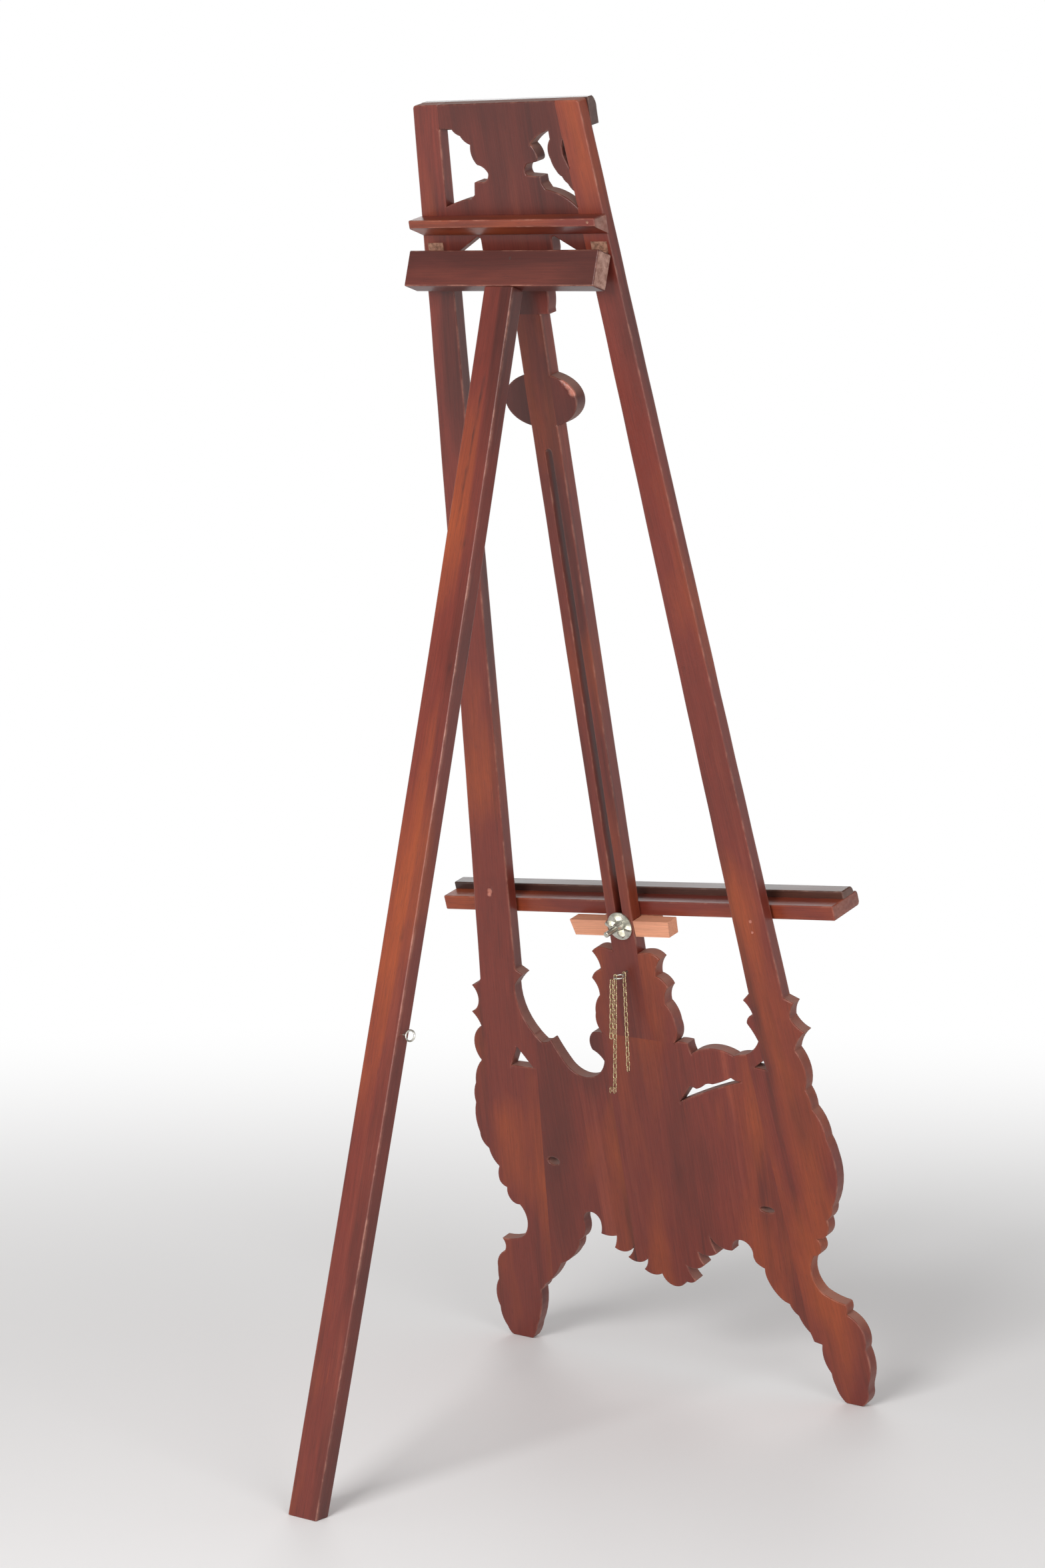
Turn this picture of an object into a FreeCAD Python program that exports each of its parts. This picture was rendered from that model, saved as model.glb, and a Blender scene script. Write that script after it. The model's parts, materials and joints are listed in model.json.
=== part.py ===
"""H frame easel: carved A-shaped front frame, slotted mast with a sliding ledge, hinged rear leg.

Frame: +Z up, +X to the left of someone who stands behind the easel, +Y to the rear.
The origin is on the ground, in the middle of the easel's footprint.
The front frame is drawn upright in its own plane (u across, d to the rear, s along the frame)
and then leaned back. The rear leg is drawn the same way in its own plane (u, d, a).
Both planes meet the ground above a common line, and every node is moved to the origin last.
All sizes are in millimetres and all angles in degrees.
"""
import FreeCAD
import Part
import math
import os

from FreeCAD import Vector

# --- attitude ---------------------------------------------------------------
LEAN = 14.15                 # front frame from the vertical, top to the rear
LEG_TILT = 14.73             # rear leg from the vertical, top to the front

# --- front frame ------------------------------------------------------------
FRAME_TOP = 1830.0           # along the frame, from the ground
FRAME_DEPTH = 19.0           # stiles, head and panel boards
STILE_TOP_LEFT = 137.0         # outer edges at the top
STILE_TOP_RIGHT = 133.0
STILE_BOW_LEFT = 2.9           # the outer edges are slightly hollow
STILE_BOW_RIGHT = 1.3
STILE_IN_TOP = 95.4            # half width between the stiles at the top
STILE_IN_SLOPE = 0.0861
STILE_CORNER = 5.0           # worn corner radius
SEAM_OUT_S = 517.0           # height where the outer seam meets the carved edge
SEAM_OUT_U = 183.0
SEAM_OUT_SLOPE = 0.1
SEAM_MID_U = 62.0
FOOT_TRIM = 3.0              # carved below the ground line, then planed flat

# --- mast -------------------------------------------------------------------
MAST_WIDTH = 43.0
MAST_DEPTH = 22.0
MAST_BOTTOM = 520.0
MAST_TOP = 1551.5
MAST_TENON = (28.0, 8.0, 24.0)      # width, depth, length
SLOT_WIDTH = 11.0
SLOT_BOTTOM = 684.3                 # the bolt rests just above this end
SLOT_TOP = 1369.0
DISC_S = 1435.2
DISC_HALF = (59.0, 37.0)            # half width, half height of the oval
DISC_DEPTH = 21.5
FLARE_DEPTH = 20.0

# --- head cornice and stop rail -----------------------------------------------
CORNICE_HALF = 136.0
CORNICE_DEPTH = 15.0
CORNICE_HOUSING = 1.0               # let into the front of the stiles and head
CORNICE_HEIGHT = 37.0
CORNICE_ROUND = (6.0, 17.0)         # front to back, top to bottom of the rounded top
STOP_HALF = 152.0
STOP_S = (1657.0, 1684.0)           # front face of the stop rail, bottom and top
STOP_NOSE = 1674.2                  # underside of its square rear nose
STOP_DEPTH = 28.0
STOP_SCREW_U = (92.0, -90.0)
STOP_SCREW_S = 1679.0
NAIL_U = -141.0

# --- hinge rail, hinges and rear leg -------------------------------------------
RAIL_ENDS = (158.0, -152.0)
RAIL_DEPTH = 28.0
RAIL_HEIGHT = 48.0
HINGE_S = 1633.8                    # pin height along the frame
PIN_OFFSET = 2.6                    # pin behind the stile
PIN_BACK = 2.0                      # pin behind the front face of the hinge rail
PIN_ABOVE = 2.6                     # pin above the top of the hinge rail
PIN_RADIUS = 1.2
PIN_PLAY = 0.05
BARREL_RADIUS = 2.2
LEAF_WIDTH = 25.0
LEAF_LENGTH = 14.0
LEAF_THICK = 1.2
LEAF_U = 134.0
KNUCKLE_GAP = 0.3
LEG_WIDTH = 46.5
LEG_DEPTH = 23.7
LEG_BOWS = (4.8, 6.5)                 # left and right edge, both towards the right
LEG_TENON = (34.0, 9.0, 44.0)       # width, depth, length
PEG_RADIUS = 2.0
PEG_U = -11.5
PEG_ABOVE = 37.0                    # above the underside of the hinge rail
LEG_EYE_A = 621.0
LEG_SPARE = 20.0                       # below the ground line, then planed flat

# --- ledge --------------------------------------------------------------------
LEDGE_TILT = 4.55                   # the loosely clamped ledge hangs this far off level
BOLT_S = 688.8
LEDGE_ENDS = (329.0, -343.5)
LEDGE_CLEAR = 1.0                   # between the mast front and the ledge
LEDGE_DEPTH = 63.0
LEDGE_HEIGHT = 20.6
LEDGE_ROUND = 5.0
LIP_SETBACK = 28.5
LIP_DEPTH = 26.0
LIP_HEIGHT = 10.3
LIP_HOUSING = 1.5                   # let into the top of the ledge
LIP_ROUND = 7.0
YOKE_HEIGHT = 22.5
YOKE_LEFT = (87.0, 82.0)               # end, at the top and the bottom
YOKE_RIGHT = (-83.0, -80.5)
YOKE_CORE = 40.0                       # half width of the deeper middle that carries the ledge
YOKE_WING_DEPTH = 21.0
YOKE_SCREW_U = (-31.0, 31.0)
YOKE_DEPTH = 46.0
YOKE_TOP = 7.2                      # top of the yoke above the bolt
NOTCH_WIDTH = 46.0
NOTCH_PLAY = 0.3
BOLT_RADIUS = 4.0
BOLT_REACH = 35.0                   # beyond the rear face of the mast
BOLT_HEAD = (6.5, 4.5)              # radius, depth, let into the yoke
WASHER = (20.0, 4.2, 2.0)           # outer radius, hole radius, thickness
WASHER_PLAY = 0.2
NUT_RADII = (8.0, 5.6)              # base and tip of the hub
NUT_HEIGHT = 11.0
NUT_HOLE = 4.05
WING_SPAN = 16.5
WING_RISE = 15.0
WING_THICK = 3.4
WING_ROUND = 3.0
WING_TURN = -41.0                      # the wings point up to the left and down to the right

# --- chain --------------------------------------------------------------------
LINK_LENGTH = 9.8
LINK_WIDTH = 6.2
LINK_WIRE = 1.4
LINK_PITCH = 6.9
HOOK_GAP = 0.5                      # the bend of the top link is centred on the wire it hangs from
EYE_U = 1.0
EYE_S = 620.0
EYE_REACH = 18.0                    # centre of the ring behind the mast
EYE_RING = 7.0
EYE_WIRE = 1.2
SHANK_RADIUS = 1.3
SHANK_BURIED = 14.0
SHORT_REACH = 6.5
SHORT_SWAY = 3.3
LONG_LINKS = 24
DOUBLED_LINKS = 12
SHORT_LINKS = 20
STRAND_GAP = 6.6
SCREW_HEAD = 3.0
SCREW_CORE = 1.3

X_AXIS = Vector(1, 0, 0)
Y_AXIS = Vector(0, 1, 0)
Z_AXIS = Vector(0, 0, 1)
ORIGIN = Vector(0, 0, 0)


# --- drawing helpers ------------------------------------------------------------
def wire(steps):
    """Closed outline of (u, s) or (u, s, bow) steps. The bow is the rise of an arc, left of travel."""
    edges = []
    ring = list(steps) + [steps[0][:2]]
    for start, end in zip(ring, ring[1:]):
        a = Vector(start[0], 0, start[1])
        b = Vector(end[0], 0, end[1])
        if len(end) == 3:
            side = Vector(a.z - b.z, 0, b.x - a.x).normalize()
            middle = (a + b) * 0.5 + side * end[2]
            edges.append(Part.Arc(a, middle, b).toShape())
        else:
            edges.append(Part.LineSegment(a, b).toShape())
    return Part.Wire(edges)


def board(steps, depth, back=0.0):
    """Flat board with the outline as its rear face, depth thick towards the front."""
    face = Part.Face(wire(steps))
    solid = face.extrude(Vector(0, -depth, 0))
    solid.translate(Vector(0, back, 0))
    return solid


def mirrored(steps):
    """The same outline on the other side, walked so that the arcs bow the same way."""
    turned = []
    bows = [step[2] if len(step) == 3 else None for step in steps]
    for i in range(len(steps) - 1, -1, -1):
        u, s = steps[i][:2]
        bow = bows[i + 1] if i + 1 < len(steps) else None
        turned.append((-u, s) if bow is None else (-u, s, bow))
    return turned


def box(u, d, s):
    """Box between (low, high) pairs."""
    size = (u[1] - u[0], d[1] - d[0], s[1] - s[0])
    return Part.makeBox(*size, Vector(u[0], d[0], s[0]))


def rod(radius, start, direction, length):
    return Part.makeCylinder(radius, length, start, direction)


def lean(shape):
    """Front frame plane to the standing easel."""
    shape.rotate(ORIGIN, X_AXIS, -LEAN)
    return shape


def frame_point(u, d, s):
    t = math.radians(LEAN)
    return Vector(u, s * math.sin(t) + d * math.cos(t), s * math.cos(t) - d * math.sin(t))


def stile_in(s):
    return STILE_IN_TOP + STILE_IN_SLOPE * (FRAME_TOP - s)


def above_ground(shape):
    reach = 2 * FRAME_TOP
    return shape.common(box((-reach, reach), (-reach, reach), (0, reach)))


# --- carved outlines --------------------------------------------------------------
LEFT_EDGE = [
    (268, 578, -STILE_BOW_LEFT), (286, 566, -2), (294, 524, -12), (281, 503, -2), (291, 448, 13),
    (309, 410, 4), (315, 378, 3), (317, 330, 4), (305, 306, 4), (291, 279, 3), (295, 256, 2),
    (283, 246, 2), (281, 229, 2), (264, 221, 3), (272, 167, -13), (308, 160, -2),
    (308, 139, -4), (326, 110, 5), (328, 90, 0.5), (334, 44, 6), (326, 12, 3),
    (298, -FOOT_TRIM, 7), (284, -FOOT_TRIM), (268, 24, 2),
]
BOTTOM_EDGE = [
    (250, 85, 4), (240, 96, 1), (205, 135, 3), (172, 161, 3), (163, 180, 2), (150, 196, 2),
    (149, 212, 1), (118, 214, -17), (121, 198, -1), (93, 199, 2), (100, 179, -1),
    (65, 186, 7), (78, 168, -2), (43, 171, 7), (52, 153, -2), (21, 151, 5),
    (-20, 146, 14), (-38, 150, 3), (-26, 171, -2), (-57, 178, 5), (-49, 197, -2),
    (-82, 200, 5), (-74, 225, -2), (-109, 209, 6), (-112, 220, -1), (-144, 206, -15),
    (-147, 198), (-161, 190, 1), (-163, 174, 1), (-182, 147, 2), (-195, 141, 1),
    (-208, 125, 2), (-224, 101, 2), (-228, 88), (-241, 86), (-250, 43, 5),
    (-254, 24, 1), (-272, -FOOT_TRIM, 3), (-290, -FOOT_TRIM),
]
RIGHT_EDGE = [
    (-308, 20, 4), (-311, 38, -1), (-312, 90, 5), (-289, 141, 12), (-290, 157, 2),
    (-254, 168, -2), (-248, 224, -11), (-258, 251, 9), (-278, 283, 9), (-290, 305, 3),
    (-302, 384, 8), (-295, 408, 1), (-279, 450, 4), (-272, 478, 2), (-264, 535, 8),
    (-284, 564, -3), (-263, 583, -3), (-272, 605, -2), (-256.4, 611),
]
TOP_EDGE = [
    (-stile_in(611), 611), (-189, 600), (-202, 580, -2), (-190, 566, 3), (-205, 541, -1),
    (-180, 518, -3), (-160, 513, 1), (-88, 507, 10), (-85, 523, -1), (-67, 523, 0.5),
    (-SEAM_MID_U, MAST_BOTTOM), (SEAM_MID_U, MAST_BOTTOM), (80, 518, 1), (84, 491, 5),
    (66, 476, -2), (135, 461, -22), (157, 497, -1), (174, 491, -2), (207, 575, -12),
    (189, 593, -1), (stile_in(600), 600),
]
BRANCH_GAP = [
    (-57, 431), (-165, 475, -2), (-150, 479, -1), (-117, 465, -1), (-104, 463, 1),
    (-88, 454, -1), (-77, 456, 1),
]
LEFT_TRIANGLE = [(237, 447), (197, 448), (221, 478)]
RIGHT_TRIANGLE = [(-193, 501), (-213, 499), (-209, 513)]
OVALS = [((187, 303), (10.5, 6)), ((-180, 284), (12, 4.5))]

FLARE = [
    (MAST_WIDTH / 2, MAST_BOTTOM), (MAST_WIDTH / 2, 649), (36, 652, 0.5), (58, 644, 3), (47, 618, -3),
    (65, 603, 3), (56, 578, -3), (68, 550, 3), (SEAM_MID_U, MAST_BOTTOM, 4),
]

HEAD_GAP_LEFT = [
    (stile_in(1798) + 1, 1798), (79, 1797), (66.5, 1788, 1.5), (52, 1776, 1.7), (45.3, 1749.4, 3.8),
    (29.6, 1738.3, -2.3), (39.8, 1727.4, -3), (50, 1728.3), (54.2, 1726.7), (57, 1710.6),
    (64, 1705), (75, 1704.7), (stile_in(1695) + 1, 1695, 0.7),
]
HEAD_GAP_RIGHT = [
    (-78.3, 1792), (-46, 1774.5, 2.6), (-54.3, 1758, -1.8), (-50.9, 1751.8, -1.2), (-37, 1749.8),
    (-31, 1742, 1.2), (-33, 1735, 0.8), (-54.5, 1733), (-55, 1724), (-60, 1716),
    (-stile_in(1691) - 1, 1691, -4.5), (-stile_in(1712) - 1, 1712), (-97.2, 1722.8, -1),
    (-89.5, 1732, -1), (-81.6, 1739.7, -1), (-75, 1755, -1), (-73, 1768.7, -1), (-78.6, 1780.6, -1),
]
FRINGE_SLIT = [
    (-stile_in(1782) - 1, 1782), (-stile_in(1741) - 1, 1741), (-96.2, 1760), (-96.2, 1771),
]
LOWER_GAP = [
    (stile_in(1626) + 1, 1626), (stile_in(1540) + 1, 1540), (35, 1540), (35, 1557), (38, 1590, -2),
    (46, 1615, 2), (58, 1638, -2), (58, 1650), (63, 1655, 1.5),
]
HEAD_FOOT = MAST_TOP


# --- front frame --------------------------------------------------------------------
def oval_hole(centre, half):
    """Oval cutter through the frame."""
    long_radius = max(half)
    curve = Part.Ellipse(ORIGIN, long_radius, min(half)).toShape()
    face = Part.Face(Part.Wire([curve]))
    face.rotate(ORIGIN, X_AXIS, 90)
    face.translate(Vector(centre[0], 1, centre[1]))
    return face.extrude(Vector(0, -FRAME_DEPTH - 2, 0))


def frame_blank():
    """Both stiles and the lower panel in one outline, before it is parted into boards."""
    top = [
        (-STILE_TOP_RIGHT, FRAME_TOP - STILE_CORNER, -STILE_BOW_RIGHT),
        (-STILE_TOP_RIGHT + STILE_CORNER, FRAME_TOP, STILE_CORNER * 0.29),
        (-STILE_IN_TOP, FRAME_TOP),
    ]
    start = [
        (STILE_IN_TOP, FRAME_TOP),
        (STILE_TOP_LEFT - STILE_CORNER, FRAME_TOP),
        (STILE_TOP_LEFT, FRAME_TOP - STILE_CORNER, STILE_CORNER * 0.29),
    ]
    blank = board(start + LEFT_EDGE + BOTTOM_EDGE + RIGHT_EDGE + top + TOP_EDGE, FRAME_DEPTH)
    for gap in (BRANCH_GAP, LEFT_TRIANGLE, RIGHT_TRIANGLE):
        blank = blank.cut(board(gap, FRAME_DEPTH + 2, 1))
    for centre, half in OVALS:
        blank = blank.cut(oval_hole(centre, half))
    for screw in fixed_screw_solids():
        blank = blank.cut(screw)
    return blank.cut(cornice_housing())


def seam_u(s):
    return SEAM_OUT_U + SEAM_OUT_SLOPE * (SEAM_OUT_S - s)


def outer_region(side):
    """Everything outside the outer seam on one side."""
    far = 400.0
    low = -50.0
    high = FRAME_TOP + 50.0
    steps = [(seam_u(low), low), (far, low), (far, high), (0, high), (0, 640), (seam_u(560), 560)]
    return board([(side * u, s) for u, s in steps], FRAME_DEPTH + 2, 1)


def frame_boards():
    """Two long stile boards with carved feet, and three panel boards between them."""
    blank = frame_blank()
    low = -50.0
    high = 600.0
    boards = {}
    for name, side in (("stile_left", 1), ("stile_right", -1)):
        boards[name] = above_ground(lean(blank.common(outer_region(side))))
    between = blank.cut(outer_region(1)).cut(outer_region(-1))
    parting = {
        "panel_board_left": (SEAM_MID_U, 400),
        "panel_board_centre": (-SEAM_MID_U, SEAM_MID_U),
        "panel_board_right": (-400, -SEAM_MID_U),
    }
    for name, across in parting.items():
        part = between.common(box(across, (-FRAME_DEPTH - 1, 1), (low, high)))
        if name == "panel_board_centre":
            part = part.cut(tenon(MAST_BOTTOM - MAST_TENON[2], MAST_BOTTOM + 1))
        boards[name] = lean(part)
    return boards


def tenon(bottom, top):
    """Mast tenon, centred in the thickness of the boards."""
    width, depth, _ = MAST_TENON
    middle = -FRAME_DEPTH / 2
    return box((-width / 2, width / 2), (middle - depth / 2, middle + depth / 2), (bottom, top))


def head_panel():
    """Pierced head between the stiles, with its pendant over the mast."""
    blank = board([
        (-stile_in(HEAD_FOOT), HEAD_FOOT), (-STILE_IN_TOP, FRAME_TOP),
        (STILE_IN_TOP, FRAME_TOP), (stile_in(HEAD_FOOT), HEAD_FOOT),
    ], FRAME_DEPTH)
    for gap in (HEAD_GAP_LEFT, HEAD_GAP_RIGHT, FRINGE_SLIT, LOWER_GAP, mirrored(LOWER_GAP)):
        blank = blank.cut(board(gap, FRAME_DEPTH + 2, 1))
    blank = blank.cut(cornice_housing())
    return lean(blank.cut(tenon(HEAD_FOOT - 1, HEAD_FOOT + MAST_TENON[2])))


def cornice_housing():
    """Shallow seat for the cornice."""
    back = -FRAME_DEPTH + CORNICE_HOUSING
    return box((-CORNICE_HALF, CORNICE_HALF), (-FRAME_DEPTH - 1, back),
               (FRAME_TOP - CORNICE_HEIGHT, FRAME_TOP + 1))


def head_cornice():
    """Cap across the front of the head, rounded over along its top."""
    back = -FRAME_DEPTH + CORNICE_HOUSING
    nose = -FRAME_DEPTH - CORNICE_DEPTH
    low = FRAME_TOP - CORNICE_HEIGHT
    across, down = CORNICE_ROUND
    top_edge = Vector(0, nose + across, FRAME_TOP)
    front_edge = Vector(0, nose, FRAME_TOP - down)
    crown = Vector(0, nose + across * 0.3, FRAME_TOP - down * 0.3)
    corners = [front_edge, Vector(0, nose, low), Vector(0, back, low), Vector(0, back, FRAME_TOP), top_edge]
    edges = [Part.LineSegment(a, b).toShape() for a, b in zip(corners, corners[1:])]
    edges.append(Part.Arc(top_edge, crown, front_edge).toShape())
    solid = Part.Face(Part.Wire(edges)).extrude(Vector(2 * CORNICE_HALF, 0, 0))
    solid.translate(Vector(-CORNICE_HALF, 0, 0))
    return lean(solid)


# --- mast ------------------------------------------------------------------------------
def mast():
    half = MAST_WIDTH / 2
    bar = box((-half, half), (-MAST_DEPTH, 0), (MAST_BOTTOM, MAST_TOP))
    bar = bar.fuse(tenon(MAST_BOTTOM - MAST_TENON[2], MAST_BOTTOM + 1))
    bar = bar.fuse(tenon(MAST_TOP - 1, MAST_TOP + MAST_TENON[2])).removeSplitter()
    r = SLOT_WIDTH / 2
    slot = [
        (r, SLOT_TOP - r), (-r, SLOT_TOP - r, -r), (-r, SLOT_BOTTOM + r), (r, SLOT_BOTTOM + r, -r),
    ]
    bar = bar.cut(board(slot, MAST_DEPTH + 2, 1))
    bar = bar.cut(rod(SHANK_RADIUS, Vector(EYE_U, -SHANK_BURIED, EYE_S), Y_AXIS, SHANK_BURIED + 1))
    return lean(bar)


def mast_ear(side):
    """Half of the oval disc, glued to one edge of the mast."""
    half_width, half_height = DISC_HALF
    curve = Part.Ellipse(ORIGIN, half_width, half_height).toShape()
    face = Part.Face(Part.Wire([curve]))
    face.rotate(ORIGIN, X_AXIS, 90)
    face.translate(Vector(0, 0, DISC_S))
    disc = face.extrude(Vector(0, -DISC_DEPTH, 0))
    edge = MAST_WIDTH / 2
    across = (edge, half_width + 1) if side > 0 else (-half_width - 1, -edge)
    height = (DISC_S - half_height - 1, DISC_S + half_height + 1)
    return lean(disc.common(box(across, (-DISC_DEPTH - 1, 1), height)))


def mast_flare(side):
    steps = FLARE if side > 0 else mirrored(FLARE)
    return lean(board(steps, FLARE_DEPTH))


# --- stop rail ---------------------------------------------------------------------------
def small_screw(head, direction, length):
    """Countersunk wood screw, its head face at the given point."""
    core = rod(SCREW_CORE, head, direction, length)
    cone = Part.makeCone(SCREW_HEAD, SCREW_CORE, SCREW_HEAD - SCREW_CORE, head, direction)
    return core.fuse(cone).removeSplitter()


def stop_screw_places():
    recess = 3.0
    return [Vector(u, STOP_DEPTH - recess, STOP_SCREW_S) for u in STOP_SCREW_U]


def stop_rail():
    low, high = STOP_S
    profile = [(0, low), (STOP_DEPTH, STOP_NOSE), (STOP_DEPTH, high), (0, high)]
    points = [Vector(-STOP_HALF, d, s) for d, s in profile]
    rail = Part.Face(Part.makePolygon(points + points[:1])).extrude(Vector(2 * STOP_HALF, 0, 0))
    for place in stop_screw_places():
        rail = rail.cut(rod(SCREW_HEAD, place, Y_AXIS, STOP_DEPTH))
        rail = rail.cut(small_screw(place, -Y_AXIS, STOP_DEPTH))
    rail = rail.cut(nail_solid())
    return lean(rail)


def stop_rail_screws():
    length = 24.0
    return lean(Part.makeCompound([small_screw(p, -Y_AXIS, length) for p in stop_screw_places()]))


def nail_solid():
    length = 26.0
    shank = rod(0.9, Vector(NAIL_U, STOP_DEPTH - length, STOP_SCREW_S), Y_AXIS, length)
    head = rod(1.8, Vector(NAIL_U, STOP_DEPTH - 1, STOP_SCREW_S), Y_AXIS, 1)
    return shank.fuse(head).removeSplitter()


# --- rear leg, drawn in its own plane ------------------------------------------------------
def leg_origin():
    """Ground point of the leg's rear face, and the height of the rail top along the leg."""
    pin = frame_point(0, PIN_OFFSET, HINGE_S)
    t = math.radians(LEG_TILT)
    inset = RAIL_DEPTH - PIN_BACK
    back = (inset + pin.z * math.sin(t)) / math.cos(t)
    height = back * math.sin(t) + pin.z * math.cos(t)
    return pin.y + back, height - PIN_ABOVE


LEG_Y, RAIL_TOP = leg_origin()
RAIL_FOOT = RAIL_TOP - RAIL_HEIGHT
FRONT_Y = frame_point(0, -FRAME_DEPTH, -FOOT_TRIM).y
CENTRE_Y = (LEG_Y + FRONT_Y) / 2


def leg_place(shape):
    shape.rotate(ORIGIN, X_AXIS, LEG_TILT)
    shape.translate(Vector(0, LEG_Y, 0))
    return shape


def leg_tenon():
    width, depth, length = LEG_TENON
    middle = -LEG_DEPTH / 2
    return box((-width / 2, width / 2), (middle - depth / 2, middle + depth / 2),
               (RAIL_FOOT, RAIL_FOOT + length))


def peg_solid():
    length = 22.0
    return rod(PEG_RADIUS, Vector(PEG_U, -length, RAIL_FOOT + PEG_ABOVE), Y_AXIS, length)


def rear_leg():
    half = LEG_WIDTH / 2
    left_bow, right_bow = LEG_BOWS
    outline = [
        (half, RAIL_FOOT), (half, -LEG_SPARE, -left_bow),
        (-half, -LEG_SPARE), (-half, RAIL_FOOT, right_bow),
    ]
    bar = board(outline, LEG_DEPTH).fuse(leg_tenon()).removeSplitter()
    bar = bar.cut(peg_solid()).cut(leg_eye_shank())
    return above_ground(leg_place(bar))


def hinge_rail():
    rail = box((RAIL_ENDS[1], RAIL_ENDS[0]), (-RAIL_DEPTH, 0), (RAIL_FOOT, RAIL_TOP))
    rail = rail.cut(leg_tenon()).cut(peg_solid())
    for screw in moving_screw_solids():
        rail = rail.cut(screw)
    return leg_place(rail)


def leg_eye_shank():
    half = LEG_WIDTH / 2
    start = Vector(-half + SHANK_BURIED, -LEG_DEPTH / 2, LEG_EYE_A)
    return rod(SHANK_RADIUS, start, -X_AXIS, SHANK_BURIED + EYE_REACH - EYE_RING)


def leg_screw_eye():
    """Screw eye in the side of the leg, where the chain can be hooked on."""
    centre = Vector(-LEG_WIDTH / 2 - EYE_REACH, -LEG_DEPTH / 2, LEG_EYE_A)
    ring = Part.makeTorus(EYE_RING, EYE_WIRE, centre, Y_AXIS)
    return leg_place(leg_eye_shank().fuse(ring).removeSplitter())


# --- butt hinges -----------------------------------------------------------------------------
def knuckles(pin, moving):
    """Barrel pieces round the pin: the middle third moves, the outer thirds are fixed."""
    third = LEAF_WIDTH / 3
    if moving:
        spans = [(-third / 2 + KNUCKLE_GAP, third / 2 - KNUCKLE_GAP)]
    else:
        spans = [(-LEAF_WIDTH / 2, -third / 2), (third / 2, LEAF_WIDTH / 2)]
    barrels = []
    for low, high in spans:
        barrels.append(rod(BARREL_RADIUS, pin + Vector(low, 0, 0), X_AXIS, high - low))
    return barrels


def knuckle_space(pin):
    """Room in the fixed leaf for the moving knuckle."""
    third = LEAF_WIDTH / 3
    reach = BARREL_RADIUS + KNUCKLE_GAP
    return rod(reach, pin - Vector(third / 2, 0, 0), X_AXIS, third)


def fixed_leaf(side):
    pin = Vector(side * LEAF_U, PIN_OFFSET, HINGE_S)
    low = pin.x - LEAF_WIDTH / 2
    leaf = box((low, low + LEAF_WIDTH), (0, LEAF_THICK), (HINGE_S, HINGE_S + LEAF_LENGTH))
    leaf = leaf.cut(knuckle_space(pin))
    for barrel in knuckles(pin, False):
        leaf = leaf.fuse(barrel)
    leaf = leaf.removeSplitter().cut(hinge_pin_rod(side))
    for screw in fixed_screw_solids():
        leaf = leaf.cut(screw)
    return lean(leaf)


def moving_leaf(side):
    pin = Vector(side * LEAF_U, PIN_BACK - RAIL_DEPTH, RAIL_TOP + PIN_ABOVE)
    low = pin.x - LEAF_WIDTH / 2
    third = LEAF_WIDTH / 3
    clear = BARREL_RADIUS + KNUCKLE_GAP
    leaf = box((low, low + LEAF_WIDTH), (pin.y + clear, pin.y + LEAF_LENGTH),
               (RAIL_TOP, RAIL_TOP + LEAF_THICK))
    tongue_half = third / 2 - KNUCKLE_GAP
    tongue = box((pin.x - tongue_half, pin.x + tongue_half), (pin.y, pin.y + clear + 1),
                 (RAIL_TOP, RAIL_TOP + LEAF_THICK))
    leaf = leaf.fuse(tongue)
    for barrel in knuckles(pin, True):
        leaf = leaf.fuse(barrel)
    hole = rod(PIN_RADIUS + PIN_PLAY, pin - Vector(LEAF_WIDTH, 0, 0), X_AXIS, 2 * LEAF_WIDTH)
    leaf = leaf.removeSplitter().cut(hole)
    for screw in moving_screw_solids():
        leaf = leaf.cut(screw)
    return leg_place(leaf)


def hinge_pin_rod(side):
    start = Vector(side * LEAF_U - LEAF_WIDTH / 2, PIN_OFFSET, HINGE_S)
    return rod(PIN_RADIUS, start, X_AXIS, LEAF_WIDTH)


def screw_offsets():
    return [side * LEAF_U + step for side in (1, -1) for step in (-LEAF_WIDTH / 3, LEAF_WIDTH / 3)]


def fixed_screw_solids():
    height = HINGE_S + LEAF_LENGTH * 0.65
    return [small_screw(Vector(u, LEAF_THICK, height), -Y_AXIS, 13.0) for u in screw_offsets()]


def moving_screw_solids():
    back = PIN_BACK - RAIL_DEPTH + LEAF_LENGTH * 0.65
    return [small_screw(Vector(u, back, RAIL_TOP + LEAF_THICK), -Z_AXIS, 13.0) for u in screw_offsets()]


# --- ledge, drawn level about the bolt and then tipped -------------------------------------------
def ledge_place(shape):
    """Tip the ledge about its bolt and lean it with the frame."""
    shape.rotate(Vector(0, 0, BOLT_S), Y_AXIS, LEDGE_TILT)
    return lean(shape)


def ledge_levels():
    bottom = BOLT_S + YOKE_TOP
    return bottom, bottom + LEDGE_HEIGHT


def ledge_board():
    low, high = ledge_levels()
    back = -MAST_DEPTH - LEDGE_CLEAR
    shelf = box((LEDGE_ENDS[1], LEDGE_ENDS[0]), (back - LEDGE_DEPTH, back), (low, high))
    front = [e for e in shelf.Edges if e.Length > 500 and e.CenterOfMass.y < back - LEDGE_DEPTH + 1]
    shelf = shelf.makeFillet(LEDGE_ROUND, front).cut(lip_blank())
    for screw in yoke_screw_solids():
        shelf = shelf.cut(screw)
    return ledge_place(shelf)


def lip_blank():
    """Lip before its front is rounded, with its foot let into the ledge."""
    top = ledge_levels()[1]
    back = -MAST_DEPTH - LEDGE_CLEAR - LIP_SETBACK
    return box((LEDGE_ENDS[1], LEDGE_ENDS[0]), (back - LIP_DEPTH, back),
               (top - LIP_HOUSING, top + LIP_HEIGHT))


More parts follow.
